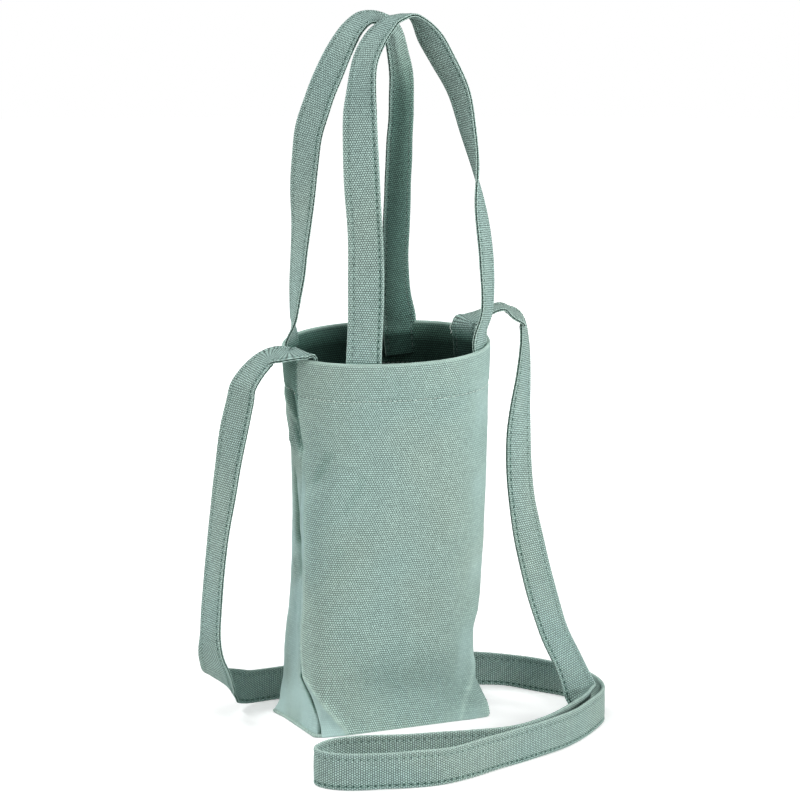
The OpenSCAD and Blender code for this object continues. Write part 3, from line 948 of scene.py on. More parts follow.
def makeStitches(name, centre, along, up, values, seed, material, shade=None):
    pick, form = np.random.default_rng(seed), stitchForm
    count, sides, t = len(centre), form["sides"], form["along"]
    side = np.cross(up, along)
    centre = centre + side * pick.uniform(-values["stray"], values["stray"], count)[:, None]
    lengths = values["length"] * pick.uniform(*form["lengths"], count)
    side = unitRows(side)
    heading = unitRows(along + side * pick.uniform(-form["skew"], form["skew"], count)[:, None])
    rise = values["arch"] * (1 - form["droop"] * t ** 2)
    way = t[None, :, None] * lengths[:, None, None] / 2
    axis = centre[:, None, :] + heading[:, None, :] * way + up[:, None, :] * rise[None, :, None]
    turn = np.linspace(0, 2 * math.pi, sides, endpoint=False)
    ring = np.cos(turn)[:, None] * side[:, None, None, :] + np.sin(turn)[:, None] * up[:, None, None, :]
    thin = values["radius"] * form["thin"]
    points = axis[:, :, None, :] + thin[None, :, None, None] * ring
    size = len(t) * sides
    one = tubeFaces(len(t), sides)
    faces = [tuple(k + start for k in face) for start in range(0, count * size, size) for face in one]
    uv = np.stack(np.broadcast_arrays(turn[None, None, :] / (2 * math.pi), way), axis=-1)
    # painted shade on the stitches, in the mouth or as given
    deep = insideShade(centre) * form["insideShade"] if shade is None else shade
    return makePiece(name, points, faces, pointUv(faces, uv), material, deep=np.repeat(deep, size))


# The hem's stitches: first and last angle of each panel's row, thread's distance from the cloth, in metres
hemRows = {
    "panels": {"frontHemStitches": ((183, 357), 5), "backHemStitches": ((3, 177), 6)},
    "ends": 0.002,
    "spots": 400,  # angles at which the way round is read
    "reach": 0.5,  # degrees to each side, for the direction of a stitch
    "outside": 0.00002,
    "inside": 0.00004,
    "insideShade": 0.9,
}


def makeHemStitches(name, angles, seed):
    # one row seen outside and one inside, all round one panel
    height, p = bagValues["height"], hemRows
    level = height - foldValues["hemStitchDrop"] * millimetre
    fine = np.linspace(*angles, p["spots"])
    way = ringWay(level, fine)
    pitch = hemStitch["pitch"]
    angle = np.interp(np.arange(way[0] + p["ends"], way[-1] - p["ends"], pitch) + pitch / 2, way, fine)
    flat = np.full(len(angle), level)
    outward = wallOutward(flat / height, angle)
    along = unitRows(clothPoint(flat, angle + p["reach"], 0) - clothPoint(flat, angle - p["reach"], 0))
    outside = clothPoint(flat, angle, -p["outside"])
    inside = clothPoint(flat, angle, bagValues["hemThickness"] + p["inside"])
    shade = np.repeat([0, p["insideShade"]], len(angle))
    return makeStitches(name, np.concatenate([outside, inside]), np.concatenate([along, along]),
                        np.concatenate([outward, -outward]), hemStitch, seed, paleThread, shade)


# Seam allowances inside, two layers each, with an overcast edge; lengths in metres
seamValues = {
    "width": 0.009,
    "narrower": 0.0009,  # the second layer
    "layer": 0.00105,
    "inset": 0.00145,
    "layerStand": 1.12,  # of a layer, from the first to the second
    "low": 0.0105,
    "top": 0.2435,
    "rowStep": 0.003,
    "columns": 7,
    "mostTurn": 196,  # the allowance follows the left seam no further round than this, in degrees
    "edgeWave": (0.0004, 0.05),  # depth and length of the unevenness
    "lift": (0.0005, 0.04),
    "overcastPitch": 0.0045,
    "overcastSlant": 0.0021,
    "overcastEdge": (0.0016, 0.0001),  # from the cloth's edge inwards, and out past it
    "overcastDepth": 2.15,  # layers
    "overcastGap": 0.0001,
    "cornerHeight": 0.008,
    "cornerLength": 0.0688,
    "cornerStand": 0.0619,
    "cornerFoot": 0.0016,
    "cornerShort": 0.0006,  # the second layer is lower by this
    "cornerRows": (26, 6),
    "cornerWave": (0.0004, 0.03),
    "cornerLean": (0.0004, 0.035),
    "cornerGap": 1.1,  # layers
}


def makeSlab(name, outer, inner, uv):
    # a thin closed piece of cloth between two grids of points
    rows, columns = outer.shape[:2]
    far = rows * columns
    faces = gridFaces(rows, columns)
    faces += [tuple(far + k for k in face[::-1]) for face in gridFaces(rows, columns)]
    border = [(0, j) for j in range(columns)] + [(i, columns - 1) for i in range(1, rows)]
    border += [(rows - 1, j) for j in range(columns - 2, -1, -1)] + [(i, 0) for i in range(rows - 2, 0, -1)]
    flat = [i * columns + j for i, j in border]
    faces += [(b, a, far + a, far + b) for a, b in zip(flat, flat[1:] + flat[:1])]
    return makePiece(name, np.stack([outer, inner]), faces, pointUv(faces, np.stack([uv, uv])), insideCanvas)


def makeSideSeam(name, isLeft, seed):
    v = seamValues
    z = np.arange(v["low"], v["top"], v["rowStep"])
    seam = np.minimum(seamAngle(z), v["mostTurn"])
    start = seam if isLeft else 180 - seam
    speed = (ringWay(z, start + 1) - ringWay(z, start - 1)) / 2
    pieces = []
    for layer in (0, 1):
        width = v["width"] - layer * v["narrower"]
        wave, size = v["edgeWave"]
        edge = width + wave * softWaves(z, z * 0, seed + layer, size, 5)
        way = np.linspace(0, 1, v["columns"])[None, :] * edge[:, None]
        angle = start[:, None] + way / speed[:, None]
        wave, size = v["lift"]
        lift = wave * softWaves(way, z[:, None], seed + 3, size, 5) * way / width
        inset = v["inset"] + layer * v["layer"] * v["layerStand"] + np.abs(lift)
        zGrid = np.broadcast_to(z[:, None], angle.shape)
        outer, inner = clothPoint(zGrid, angle, inset), clothPoint(zGrid, angle, inset + v["layer"])
        pieces.append(makeSlab(f"{name}Layer{layer + 1}", outer, inner, np.stack([way, zGrid], axis=-1)))
    # the overcast thread, slanting over the second layer's edge
    spots = np.arange(z[0] + v["rowStep"], z[-1] - v["rowStep"], v["overcastPitch"])
    inset = v["inset"] + v["overcastDepth"] * v["layer"] + v["overcastGap"]
    near, past = v["overcastEdge"]
    ends, angles = [], []
    for rise, beyond in ((0, -near), (v["overcastSlant"], past)):
        angles.append(np.interp(spots + rise, z, start + (edge + beyond) / speed))
        ends.append(clothPoint(spots + rise, angles[-1], inset))
    outward = -wallOutward(spots / bagValues["height"], angles[0])
    middle, along = (ends[0] + ends[1]) / 2, unitRows(ends[1] - ends[0])
    pieces.append(makeStitches(name + "Overcast", middle, along, outward, overcastStitch, seed, seamThread))
    return pieces


def makeCornerSeam(name, side, seed):
    v = seamValues
    rows, columns = v["cornerRows"]
    y = np.linspace(-v["cornerLength"] / 2, v["cornerLength"] / 2, rows)
    pieces = []
    for layer in (0, 1):
        wave, size = v["cornerWave"]
        height = v["cornerHeight"] + wave * softWaves(y, y * 0, seed + layer, size, 5)
        height = height - v["cornerShort"] * layer
        rise = np.linspace(0, 1, columns)[None, :] * height[:, None]
        wave, size = v["cornerLean"]
        lean = wave * softWaves(y[:, None], rise, seed + 4, size, 5) * rise / v["cornerHeight"]
        stand = v["cornerStand"] + (0.5 - layer) * v["layer"] * v["cornerGap"]
        x = side * (stand - np.abs(lean) * (1 - 2 * layer))
        yGrid = np.broadcast_to(y[:, None], rise.shape)
        outer = np.stack([x, yGrid, rise + v["cornerFoot"]], axis=-1)
        inner = outer - [side * v["layer"], 0, 0]
        pieces.append(makeSlab(f"{name}Layer{layer + 1}", outer, inner, np.stack([yGrid, rise], axis=-1)))
    return pieces


# A loose end of thread where the shoulder strap is sewn in on the right
looseThread = {
    "angle": 13.4,
    "radius": 0.00024,
    "sides": 7,
    "steps": 8,
    "taper": (16, 0.05),  # how late the thread thins towards its ends, and how far
    "aside": (0.3, 0.2, 1.0),  # a direction in which the thread never runs
    # rise above the rim and way in, in metres, and turn back in degrees
    "spots": [
        (0.0012, 0.0012, 0), (0.0016, 0.0050, 0.8), (-0.0010, 0.0090, 2.0), (-0.0034, 0.0094, 3.6),
        (-0.0056, 0.0098, 3.0),
    ],
}


def makeLooseThread(name):
    v = looseThread
    route = [wallPoint(1, v["angle"] - turn, inset) + [0, 0, rise] for rise, inset, turn in v["spots"]]
    rows, steps = np.array(route), v["steps"]
    at = [easeRows(rows, np.full(steps, k), np.arange(steps) / steps) for k in range(len(rows) - 1)]
    at = np.concatenate(at + [rows[-1:]])
    along = unitRows(np.gradient(at, axis=0))
    side = unitRows(np.cross(along, v["aside"]))
    up = np.cross(side, along)
    turn = np.linspace(0, 2 * math.pi, v["sides"], endpoint=False)
    power, least = v["taper"]
    thin = v["radius"] * np.sqrt(np.clip(1 - np.linspace(-1, 1, len(at)) ** power, least, 1))
    ring = np.cos(turn)[None, :, None] * side[:, None, :] + np.sin(turn)[None, :, None] * up[:, None, :]
    points = at[:, None, :] + thin[:, None, None] * ring
    faces = tubeFaces(len(at), v["sides"])
    way = np.concatenate([[0], np.cumsum(np.linalg.norm(np.diff(at, axis=0), axis=1))])
    uv = np.stack(np.broadcast_arrays(turn[None, :] / (2 * math.pi), way[:, None]), axis=-1)
    return makePiece(name, points, faces, pointUv(faces, uv), paleThread)


def placePieces(pieces):
    for piece in pieces:
        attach(piece, "bag")


frontPanel = makePanel("frontPanel", True)
backPanel = makePanel("backPanel", False)
basePanel = makeBase()
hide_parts("front_panel", "front_hem")
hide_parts("back_panel", "back_hem")
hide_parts("base_panel")
bagPieces = [frontPanel, backPanel, basePanel]
print("bag body made")

for name, (angles, seed) in hemRows["panels"].items():
    bagPieces.append(makeHemStitches(name, angles, seed))
leftSeam = makeSideSeam("leftSideSeam", True, 11)
rightSeam = makeSideSeam("rightSideSeam", False, 14)
leftCorner = makeCornerSeam("leftCornerSeam", -1, 17)
rightCorner = makeCornerSeam("rightCornerSeam", 1, 19)
for seam, node in ((leftSeam, "left_side_seam"), (rightSeam, "right_side_seam"),
                   (leftCorner, "left_corner_seam"), (rightCorner, "right_corner_seam")):
    for piece in seam[:2]:
        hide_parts(node)
    bagPieces += seam
bagPieces.append(makeLooseThread("looseThread"))
placePieces(bagPieces)
print("seams made")


# Straps: a strip folded to four layers, with a closed fold on one edge and a stitched edge on the other
strapValues = {
    "width": 0.025,
    "thickness": 0.0026,
    "step": 0.0014,
    "layGap": 0.00015,  # between sewn layers
    "moveGap": 0.0004,  # between parts that move
    "foldGap": 0.0024,  # from the rim up to a handle's foot
    "sewnDepth": 0.023,
    "sewnTop": 0.003,
    "handleLean": 0.033,
    "handleRise": 0.232,
    "crestLeft": 0.004,
    "crestRight": 0.012,
    "edgeWave": (0.00028, 0.045),  # depth and length in metres
    "swell": (0.05, 0.03),
    "stitchPinch": (0.07, 1.5),  # share of the thickness, and width in mm
    "edgeBeat": (0.03, 1.6),
    "edgePull": (0.00012, 0.0115),  # between stitches, past this far from the middle
    "foldWear": (0.9, 0.7),  # share, and width in mm
    "edgeWear": (0.9, 0.35, 0.4),  # the same, and the height above which it shows
    "layerShade": (11.2, 0.5, 0.3),  # between the layers in mm: past this far across, and below this height
    "grooveShade": (0.2, 0.78),
    "grooveWidth": 0.55,
    "insideShade": 0.93,
    "shadeTurn": 4,  # how soon a face that turns to the front is in the shade
    "shadeEdge": (0.6, 2.2),  # how much lighter its edges stay, and how wide in mm
    "endSpread": 2.2,  # more brings the shoulder strap's flat ends closer to the round wall
    "mapGap": 0.0002,
    "endMap": 0.01,  # the square ends have no holes
}

# Half of the section, in mm from the closed fold to the stitched edge: way across, and height.
# After it the two rows of stitches and the stitched edge, also as the way across
strapProfile = np.array([
    [-12.5, 0], [-12.42, 0.5], [-12.12, 0.93], [-11.65, 1.2], [-11.0, 1.3], [-10.1, 1.28], [-9.1, 1.14],
    [-8.55, 1.0], [-8.2, 0.93], [-7.85, 1.0], [-7.3, 1.14], [-6.2, 1.26], [-4.0, 1.3], [-1.5, 1.28],
    [1.5, 1.28], [4.5, 1.3], [7.2, 1.28], [8.7, 1.2], [9.35, 1.1], [9.62, 1.0], [9.85, 0.93], [10.08, 1.0],
    [10.35, 1.12], [10.7, 1.22], [11.2, 1.3], [11.75, 1.29], [12.2, 1.13], [12.46, 0.86], [12.5, 0.6],
    [12.36, 0.34], [12.05, 0.17], [11.5, 0.06],
])
stitchLines = (-8.2, 9.85)
strapEdge = 12.5


def rimBearing(angle):
    v = wallPoint(1, angle + 1, 0) - wallPoint(1, angle - 1, 0)
    return math.degrees(math.atan2(v[1], v[0]))


# Each handle's route: way from the left end to the right, lean, rise, bearing and dip of its stitched edge
handleValues = {
    "front": {
        "ends": (222, 303),
        "lean": 1,
        "turns": (0, -180),
        "rows": [
            [0, 0, 0, None, 0], [0.04, 0.12, 0.245, -36, 2], [0.06, 0.41, 0.495, -33, 1],
            [0.07, 0.61, 0.68, -38, 8],
            [0.1, 0.72, 0.785, -60, 6], [0.15, 0.84, 0.87, -77, -16], [0.25, 0.93, 0.933, -92, -26],
            [0.35, 0.94, 0.97, -100, -17], [0.44, 0.94, 0.99, -105, -6], [0.59, 0.94, 0.99, -103, 6],
            [0.71, 0.88, 0.925, -80, 22], [0.81, 0.8, 0.855, -77, 19], [0.93, 0.7, 0.757, -80, 9],
            [0.985, 0.53, 0.64, -91, 6], [1.03, 0.42, 0.53, -108, 7], [1.05, 0.25, 0.4, -132, 5],
            [1.07, 0.08, 0.25, -137, 6], [1.06, -0.03, 0.11, -133, 7], [1.008, 0, 0.035, None, -6],
            [1, 0, 0, None, -7],
        ],
    },
    "back": {
        "ends": (126, 46.5),
        "lean": -1,
        "turns": (0, -345),
        "rows": [
            [0, 0, 0, -126, -7], [0.004, 0.015, 0.03, -112, -2], [0.009, 0.03, 0.065, -103, 2],
            [0.025, 0.1, 0.17, -92, 7], [0.036, 0.27, 0.32, -84, 6], [0.036, 0.45, 0.485, -68, 4],
            [0.07, 0.61, 0.64, -64, -8], [0.21, 0.76, 0.79, -66, -15], [0.34, 0.85, 0.885, -75, -12],
            [0.42, 0.88, 0.928, -86, -16], [0.53, 0.89, 0.953, -97, -16], [0.66, 0.89, 0.942, -118, -16],
            [0.775, 0.87, 0.9, -141, -14], [0.85, 0.79, 0.82, -149, -4], [0.895, 0.69, 0.73, -156, 3],
            [0.907, 0.53, 0.565, -160, 3], [0.92, 0.36, 0.42, -163, 4], [0.945, 0.09, 0.13, -166, 5],
            [1, 0, 0, None, -3],
        ],
    },
}

# The shoulder strap: shares of the base's width and depth and of the rim's height, then bearing and dip
shoulderValues = {
    "leftCrest": [[-0.26, 0.5, -75, -6], [0, 0.62, -83, -5], [0.28, 0.58, -85, -5]],
    "leftHang": [
        [-0.635, 0, 1.0, -84, -6], [-0.708, 0, 0.974, -77, -6], [-0.781, 0, 0.926, -68, -4],
        [-0.803, 0, 0.88, -62, 2], [-0.843, 0, 0.79, -62, 4], [-0.888, 0, 0.655, -69, 8],
        [-0.937, 0, 0.48, -78, 10], [-0.972, 0, 0.295, -79, 7], [-0.967, 0.03, 0.201, -78, 10],
        [-0.909, 0.2, 0.125, -77, 12],
        [-0.828, 0.46, 0.068, -80, 0], [-0.745, 0.63, 0.041, -54, -50], [-0.62, 0.76, 0.008, 15, -70],
    ],
    # on the floor the strap stands on its edge
    "onFloor": [
        [-0.453, 0.84, 0], [-0.2, 0.85, -76], [0.146, 0.8, -76], [0.51, 0.675, -76], [0.708, 0.51, -76],
        [0.869, 0.275, -76], [1.005, -0.125, -76], [1.067, -0.56, -76], [1, -1, -76], [0.818, -1.325, -76],
        [0.562, -1.64, -60], [0.18, -1.89, -30], [-0.18, -2.1, 0], [-0.42, -2.08, 30], [-0.613, -1.99, 60],
        [-0.745, -1.875, 90], [-0.803, -1.725, 120], [-0.774, -1.575, 150], [-0.628, -1.46, 175],
        [-0.336, -1.59, 175], [0, -1.725, 175], [0.22, -1.76, 175], [0.438, -1.66, 175], [0.63, -1.44, 175],
        [0.8, -1.22, 175], [0.9, -1.02, 175],
    ],
    "rightHang": [
        [0.935, -0.78, 0.02, 177, -42], [0.886, -0.69, 0.1, 194, -16], [0.825, -0.56, 0.197, 188, -2],
        [0.766, -0.375, 0.377, 185, -2], [0.737, -0.25, 0.531, 194, 6], [0.752, -0.125, 0.666, 198, 7],
        [0.781, -0.06, 0.767, 209, 8], [0.818, 0, 0.865, 222, 7], [0.84, 0.06, 0.95, 232, 3],
        [0.832, 0.1, 1.003, 238, -1],
    ],
    # way out in widths of the strap, rise, bearing and dip
    "rightCrest": [
        [1.27, 0.66, 240, -2], [0.9, 1, 240, -1], [0.42, 0.8, 252, -2], [0.06, 0.44, 276, -6],
        [-0.22, 0.24, 286, -6],
    ],
    "floorDip": -90,
    "lastFloorDip": -82,
    "footDip": -5,
}


def sewnInset():
    return 2 * bagValues["clothThickness"] + 2 * strapValues["layGap"] + strapValues["thickness"] / 2


def handleRoute(values):
    v = strapValues
    left, right = values["ends"]
    inset = sewnInset() + 2 * v["moveGap"]
    feet = [wallPoint(1, a, inset) + [0, 0, v["foldGap"]] for a in (left, right)]
    bearings = [rimBearing(a) + turn for a, turn in zip((left, right), values["turns"])]
    # a row without a bearing takes the rim's, and the last but one is a degree further on
    rows, lastButOne = [], len(values["rows"]) - 2
    for k, (way, lean, rise, bearing, dip) in enumerate(values["rows"]):
        if bearing is None:
            bearing = bearings[0] if way < 0.5 else bearings[1] + (k == lastButOne)
        place = feet[0] + (feet[1] - feet[0]) * way
        place = place + [0, values["lean"] * v["handleLean"] * lean, v["handleRise"] * rise]
        rows.append([*place, bearing, dip])
    sewn = []
    for angle, bearing, dip in ((left, bearings[0], rows[0][4]), (right, bearings[1], rows[-1][4])):
        depth = inset - 2 * v["moveGap"] + v["layGap"]
        sewn.append([[*wallPoint(1 - drop / bagValues["height"], angle, depth), bearing, dip / 2]
                     for drop in (v["sewnDepth"], v["sewnDepth"] / 2, v["sewnTop"])])
    return np.array(sewn[0] + rows + sewn[1][::-1], float)


def shoulderRoute(values):
    v, b = strapValues, bagValues
    leftRim, rightRim = wallPoint(1, 180, 0), wallPoint(1, 0, 0)
    spare = v["width"] ** 2 / b["mouthDepth"] / v["endSpread"]

    def foot(angle, drop, bearing):
        place = wallPoint(1 - drop / b["height"], angle, sewnInset() + spare)
        return [*place, bearing, values["footDip"]]

    def crest(rim, row, side, height):
        return [rim[0] + side * row[0] * v["width"], rim[1], rim[2] + row[1] * height, *row[2:]]

    def hang(row, rim):
        low = v["width"] / 2 + v["moveGap"]
        z = low + row[2] * (rim - v["width"] / 2)
        return [row[0] * b["baseWidth"], row[1] * b["baseDepth"], z, *row[3:]]

    floor = [[x, y, 0, bearing, values["floorDip"]] for x, y, bearing in values["onFloor"]]
    floor[-1][4] = values["lastFloorDip"]
    rows = [foot(180, drop, rimBearing(180)) for drop in (v["sewnDepth"], v["sewnDepth"] / 2)]
    rows += [crest(leftRim, row, -1, v["crestLeft"]) for row in values["leftCrest"]]
    rows += [hang(row, leftRim[2]) for row in values["leftHang"] + floor]
    rows += [hang(row, rightRim[2]) for row in values["rightHang"]]
    rows += [crest(rightRim, row, 1, v["crestRight"]) for row in values["rightCrest"]]
    rows += [foot(0, drop, rimBearing(0) + 180) for drop in (v["sewnDepth"] / 2, v["sewnDepth"])]
    return np.array(rows, float)


def strapFrames(rows, step):
    # even points along the route, with the direction across and out of the face at each;
    # the curve is first drawn three times as fine
    fine = []
    for i in range(len(rows) - 1):
        count = max(2, int(np.linalg.norm(rows[i + 1, :3] - rows[i, :3]) / step * 3))
        fine.append(easeRows(rows, np.full(count, i), np.arange(count) / count))
    fine = np.concatenate(fine + [rows[-1:]])
    way = np.concatenate([[0], np.cumsum(np.linalg.norm(np.diff(fine[:, :3], axis=0), axis=1))])
    even = np.linspace(0, way[-1], int(way[-1] / step) + 1)
    path = np.stack([np.interp(even, way, fine[:, k]) for k in range(5)], axis=1)
    at = path[:, :3]
    along = unitRows(np.gradient(at, axis=0))
    bearing, dip = np.radians(path[:, 3]), np.radians(path[:, 4])
    aim = np.stack([np.cos(dip) * np.cos(bearing), np.cos(dip) * np.sin(bearing), np.sin(dip)], axis=1)
    across = unitRows(aim - (aim * along).sum(axis=1, keepdims=True) * along)
    return even, at, along, across, np.cross(along, across)


def strapSection():
    # the whole section: the upper half, then the lower half back, from the groove round to the groove
    section = np.concatenate([strapProfile[::-1], strapProfile[1:] * [1, -1]]) * millimetre
    steps = np.linalg.norm(np.diff(section, axis=0), axis=1)
    return section, np.concatenate([[0], np.cumsum(steps)])


def strapPoints(frames, section, seed):
    # the edges wander a little and each stitch draws the layers together
    v = strapValues
    way, at, _, across, out = frames
    way, side, height = way[:, None], section[None, :, 0], section[None, :, 1]
    wave, size = v["edgeWave"]
    wander = wave * softWaves(way, side * 0 + np.sign(side), seed, size, 6)
    beat = np.cos(way / clothValues["holePitch"] * 2 * math.pi)
    depth, wide = v["stitchPinch"]
    near = sum(bell(side / millimetre - line, wide) for line in stitchLines)
    scale = 1 - depth * near * (0.5 + 0.5 * beat)
    depth, wide = v["edgeBeat"]
    scale = scale + depth * bell(side / millimetre - strapEdge, wide) * beat
    wave, size = v["swell"]
    swell = 1 + wave * softWaves(way, side * 3, seed + 5, size, 6)
    side = side + wander * np.abs(side) / (v["width"] / 2)
    pull, beyond = v["edgePull"]
    side = side - np.sign(side) * pull * (0.5 - 0.5 * beat) * (np.abs(side) > beyond)
    height = height * scale * swell
    return at[:, None, :] + side[..., None] * across[:, None, :] + height[..., None] * out[:, None, :]


def gridMap(u, way, size):
    # corner values of the strap's closed grid, with one more column where the section meets itself
    i = np.repeat(np.arange(len(way) - 1), size)
    j = np.tile(np.arange(size), len(way) - 1)
    corners = [np.stack([u[j + dj], way[i + di]], -1) for di, dj in ((0, 0), (0, 1), (1, 1), (1, 0))]
    return np.stack(corners, axis=1).reshape(-1, 2)


def strapEnds(count, size):
    # square ends, closed by strips between the two faces
    ends = []
    for ring, turn in ((0, 1), (count - 1, -1)):
        for k in range(len(strapProfile) - 1):
            quad = [k, k + 1, size - 1 - k, size - k] if k else [0, 1, size - 1]
            ends.append((ring, quad[::turn]))
    return ends


def shadedShare(share, towardsFront, shaded):
    lie = easeStep(share, *shaded["start"]) * (1 - easeStep(share, *shaded["end"]))
    return shaded["depth"] * lie * np.clip(towardsFront * strapValues["shadeTurn"], 0, 1)


def strapWear(frames, section, points, shaded):
    # worn pale at both edges; painted shade between the layers, in the stitched grooves, in the mouth and on
    # the shaded face
    v, (way, _, _, _, out) = strapValues, frames
    side, height = section[:, 0] / millimetre, np.abs(section[:, 1]) / millimetre
    share, wide = v["foldWear"]
    wearAndHighlight = share * bell(side + strapEdge, wide)
    share, wide, above = v["edgeWear"]
    wearAndHighlight = wearAndHighlight + share * bell(side - strapEdge, wide) * (height > above)
    across, below, fade = v["layerShade"]
    paintedShade = np.clip((below - height) / fade, 0, 1) * (side > across)
    for line, depth in zip(stitchLines, v["grooveShade"]):
        paintedShade = np.maximum(paintedShade, depth * bell(side - line, v["grooveWidth"]))
    paintedShade = np.maximum(np.tile(paintedShade, (len(way), 1)), v["insideShade"] * insideShade(points))
    if shaded:
        lie = shadedShare(way[:, None] / way[-1], -np.sign(section[None, :, 1]) * out[:, 1:2], shaded)
        share, wide = v["shadeEdge"]
        paintedShade = np.maximum(paintedShade, lie * (1 - share * bell(np.abs(side) - strapEdge, wide)))
    return {"foldEdge": np.tile(wearAndHighlight, len(way)), "deep": paintedShade}


def makeStrap(name, rows, seed, shaded=None):
    v, frames = strapValues, strapFrames(rows, strapValues["step"])
    way = frames[0]
    section, girth = strapSection()
    count, size = len(way), len(section)
    points = strapPoints(frames, section, seed)
    toLine = np.min([np.abs(section[:, 0] - line * millimetre) for line in stitchLines], axis=0)
    cloth = gridMap(np.append(girth, girth[-1] + v["mapGap"]), way, size)
    stitch = gridMap(np.append(toLine, toLine[0]), way, size)
    faces = gridFaces(count, size, closed=True)
    ends = strapEnds(count, size)
    faces += [tuple(ring * size + k for k in quad) for ring, quad in ends]
    cloth = np.concatenate([cloth, [[girth[k], way[ring]] for ring, quad in ends for k in quad]])
    stitch = np.concatenate([stitch, [[v["endMap"], way[ring]] for ring, quad in ends for _ in quad]])
    wear = strapWear(frames, section, points, shaded)
    piece = makePiece(name, points, faces, cloth, strapCanvas, stitch, **wear)
    return piece, strapStitches(name + "Stitches", frames, seed, shaded), float(way[-1])


def strapStitches(name, frames, seed, shaded):
    # four rows, two on each face
    way, pitch = frames[0], clothValues["holePitch"]
    middle = (np.arange(int(way[-1] / pitch)) + 0.5) * pitch
    place, forward, side, up = [
        np.stack([np.interp(middle, way, rows[:, k]) for k in range(3)], axis=1) for rows in frames[1:]]
    centres, ups, shades = [], [], []
    for line in stitchLines:
        for face in (1, -1):
            centres.append(place + side * line * millimetre + up * face * strapStitch["height"])
            ups.append(up * face)
            shades.append(shadedShare(middle / way[-1], -face * up[:, 1], shaded) if shaded else middle * 0)
    centres, along = np.concatenate(centres), unitRows(np.concatenate([forward] * len(ups)))
    ups = unitRows(np.concatenate(ups))
    shade = np.maximum(np.concatenate(shades), strapValues["insideShade"] * insideShade(centres))
    return makeStitches(name, centres, along, ups, strapStitch, seed, seamThread, shade)


# How each handle is made and which solids it stands for, and the face of the back handle that lies in the
# shade
handleJoints = {
    "front": {
        "body": "front_handle_loop", "nodes": ("front_handle", "front_handle_ends"), "seed": 21,
        "shaded": None,
    },
    "back": {
        "body": "back_handle_loop", "nodes": ("back_handle", "back_handle_ends"), "seed": 33,
        "shaded": {"start": (0.54, 0.66), "end": (1.1, 1.2), "depth": 0.58},
    },
}
for key, values in handleJoints.items():
    route = handleRoute(handleValues[key])
    handle, stitches, length = makeStrap(key + "Handle", route, values["seed"], values["shaded"])
    for piece in (handle, stitches):
        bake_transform(piece)
    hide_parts(*values["nodes"])
    print(key, "handle made,", round(length, 3), "m")

shoulderStrap, stitches, length = makeStrap("shoulderStrap", shoulderRoute(shoulderValues), 47)
placePieces([shoulderStrap, stitches])
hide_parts("shoulder_strap")
print("shoulder strap made,", round(length, 3), "m")

# Soft studio light and a plain pale floor
studioValues = {
    "surround": 0.10,
    "aim": (0, 0, 0.2),
    "lampDistance": 2.2,
    "floorColour": 0.80,
    "floorGlow": 0.42,
    "glowRange": (0.35, 1.6),  # metres from the bag
    "floorReach": 6.0,
    "floorRings": 3,
    "floorSpokes": 48,
}
lampValues = {
    "keyLamp": {"azimuth": 32, "elevation": 18, "size": 0.6, "power": 31.0},
    "sideLamp": {"azimuth": -80, "elevation": 6, "size": 1.2, "power": 18.0},
    "fillLamp": {"azimuth": -35, "elevation": 60, "size": 1.2, "power": 17.0},
    "edgeLamp": {"azimuth": 72, "elevation": 12, "size": 0.8, "power": 13.0},
    "rimLamp": {"azimuth": -150, "elevation": 40, "size": 1.0, "power": 32.0},
}


def makeLamp(name, azimuth, elevation, size, power):
    data = bpy.data.lights.new(name, "AREA")
    data.shape = "DISK"
    data.size = size
    data.energy = power
    placeAt(name, data, studioValues["aim"], azimuth, elevation, studioValues["lampDistance"])


def backdropShare(tree):
    # 1 for what the camera sees, straight on or in something shiny or clear
    rays = tree.nodes.new("ShaderNodeLightPath")
    share = addMath(tree, "MAXIMUM", rays.outputs["Is Camera Ray"], rays.outputs["Is Glossy Ray"])
    return addMath(tree, "MAXIMUM", share, rays.outputs["Is Transmission Ray"])


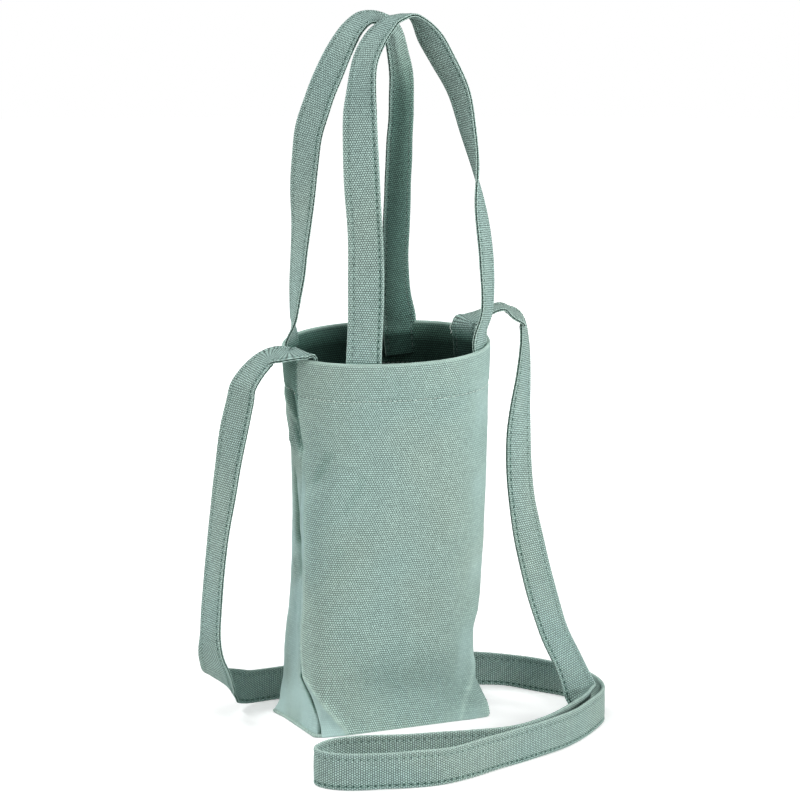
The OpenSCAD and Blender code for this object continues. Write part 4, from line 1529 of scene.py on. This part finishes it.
def makeSurround(values):
    world = bpy.data.worlds.new("studioSurround")
    world.use_nodes = True
    scene.world = world
    tree = world.node_tree
    strength = addMath(tree, "MULTIPLY_ADD", backdropShare(tree), 1 - values["surround"], values["surround"])
    background = tree.nodes["Background"]
    background.inputs["Color"].default_value = (1, 1, 1, 1)
    tree.links.new(strength, background.inputs["Strength"])


def makeFloorMaterial(values):
    material = bpy.data.materials.new("paleFloor")
    material.use_nodes = True
    tree = material.node_tree
    tree.nodes.clear()
    matt = tree.nodes.new("ShaderNodeBsdfDiffuse")
    matt.inputs["Color"].default_value = (*[values["floorColour"]] * 3, 1)
    place = tree.nodes.new("ShaderNodeNewGeometry")
    length = tree.nodes.new("ShaderNodeVectorMath")
    length.operation = "LENGTH"
    tree.links.new(place.outputs["Position"], length.inputs[0])
    # white again well away from the bag, so the floor runs into the backdrop
    far = addRange(tree, length.outputs["Value"], *values["glowRange"], values["floorGlow"], 1.0)
    glow = tree.nodes.new("ShaderNodeEmission")
    tree.links.new(addMath(tree, "MULTIPLY", backdropShare(tree), far), glow.inputs["Strength"])
    add = tree.nodes.new("ShaderNodeAddShader")
    for k, shader in enumerate((matt, glow)):
        tree.links.new(shader.outputs[0], add.inputs[k])
    out = tree.nodes.new("ShaderNodeOutputMaterial")
    tree.links.new(add.outputs[0], out.inputs["Surface"])
    return material


def makeFloor(values):
    rings, spokes = values["floorRings"], values["floorSpokes"]
    points = [(0, 0, 0)]
    for k in range(1, rings + 1):
        radius = values["floorReach"] * k / rings
        turns = [2 * math.pi * j / spokes for j in range(spokes)]
        points += [(radius * math.cos(turn), radius * math.sin(turn), 0) for turn in turns]
    faces = [(0, 1 + j, 1 + (j + 1) % spokes) for j in range(spokes)]
    for k in range(rings - 1):
        for j in range(spokes):
            a, b = 1 + k * spokes + j, 1 + k * spokes + (j + 1) % spokes
            faces.append((a, a + spokes, b + spokes, b))
    mesh = bpy.data.meshes.new("studioFloor")
    mesh.from_pydata(points, [], faces)
    mesh.materials.append(makeFloorMaterial(values))
    floor = bpy.data.objects.new("studioFloor", mesh)
    scene.collection.objects.link(floor)


makeSurround(studioValues)
makeFloor(studioValues)
for name, values in lampValues.items():
    makeLamp(name, **values)
print("studio lit")

bpy.context.view_layer.update()
print("pieces in place")
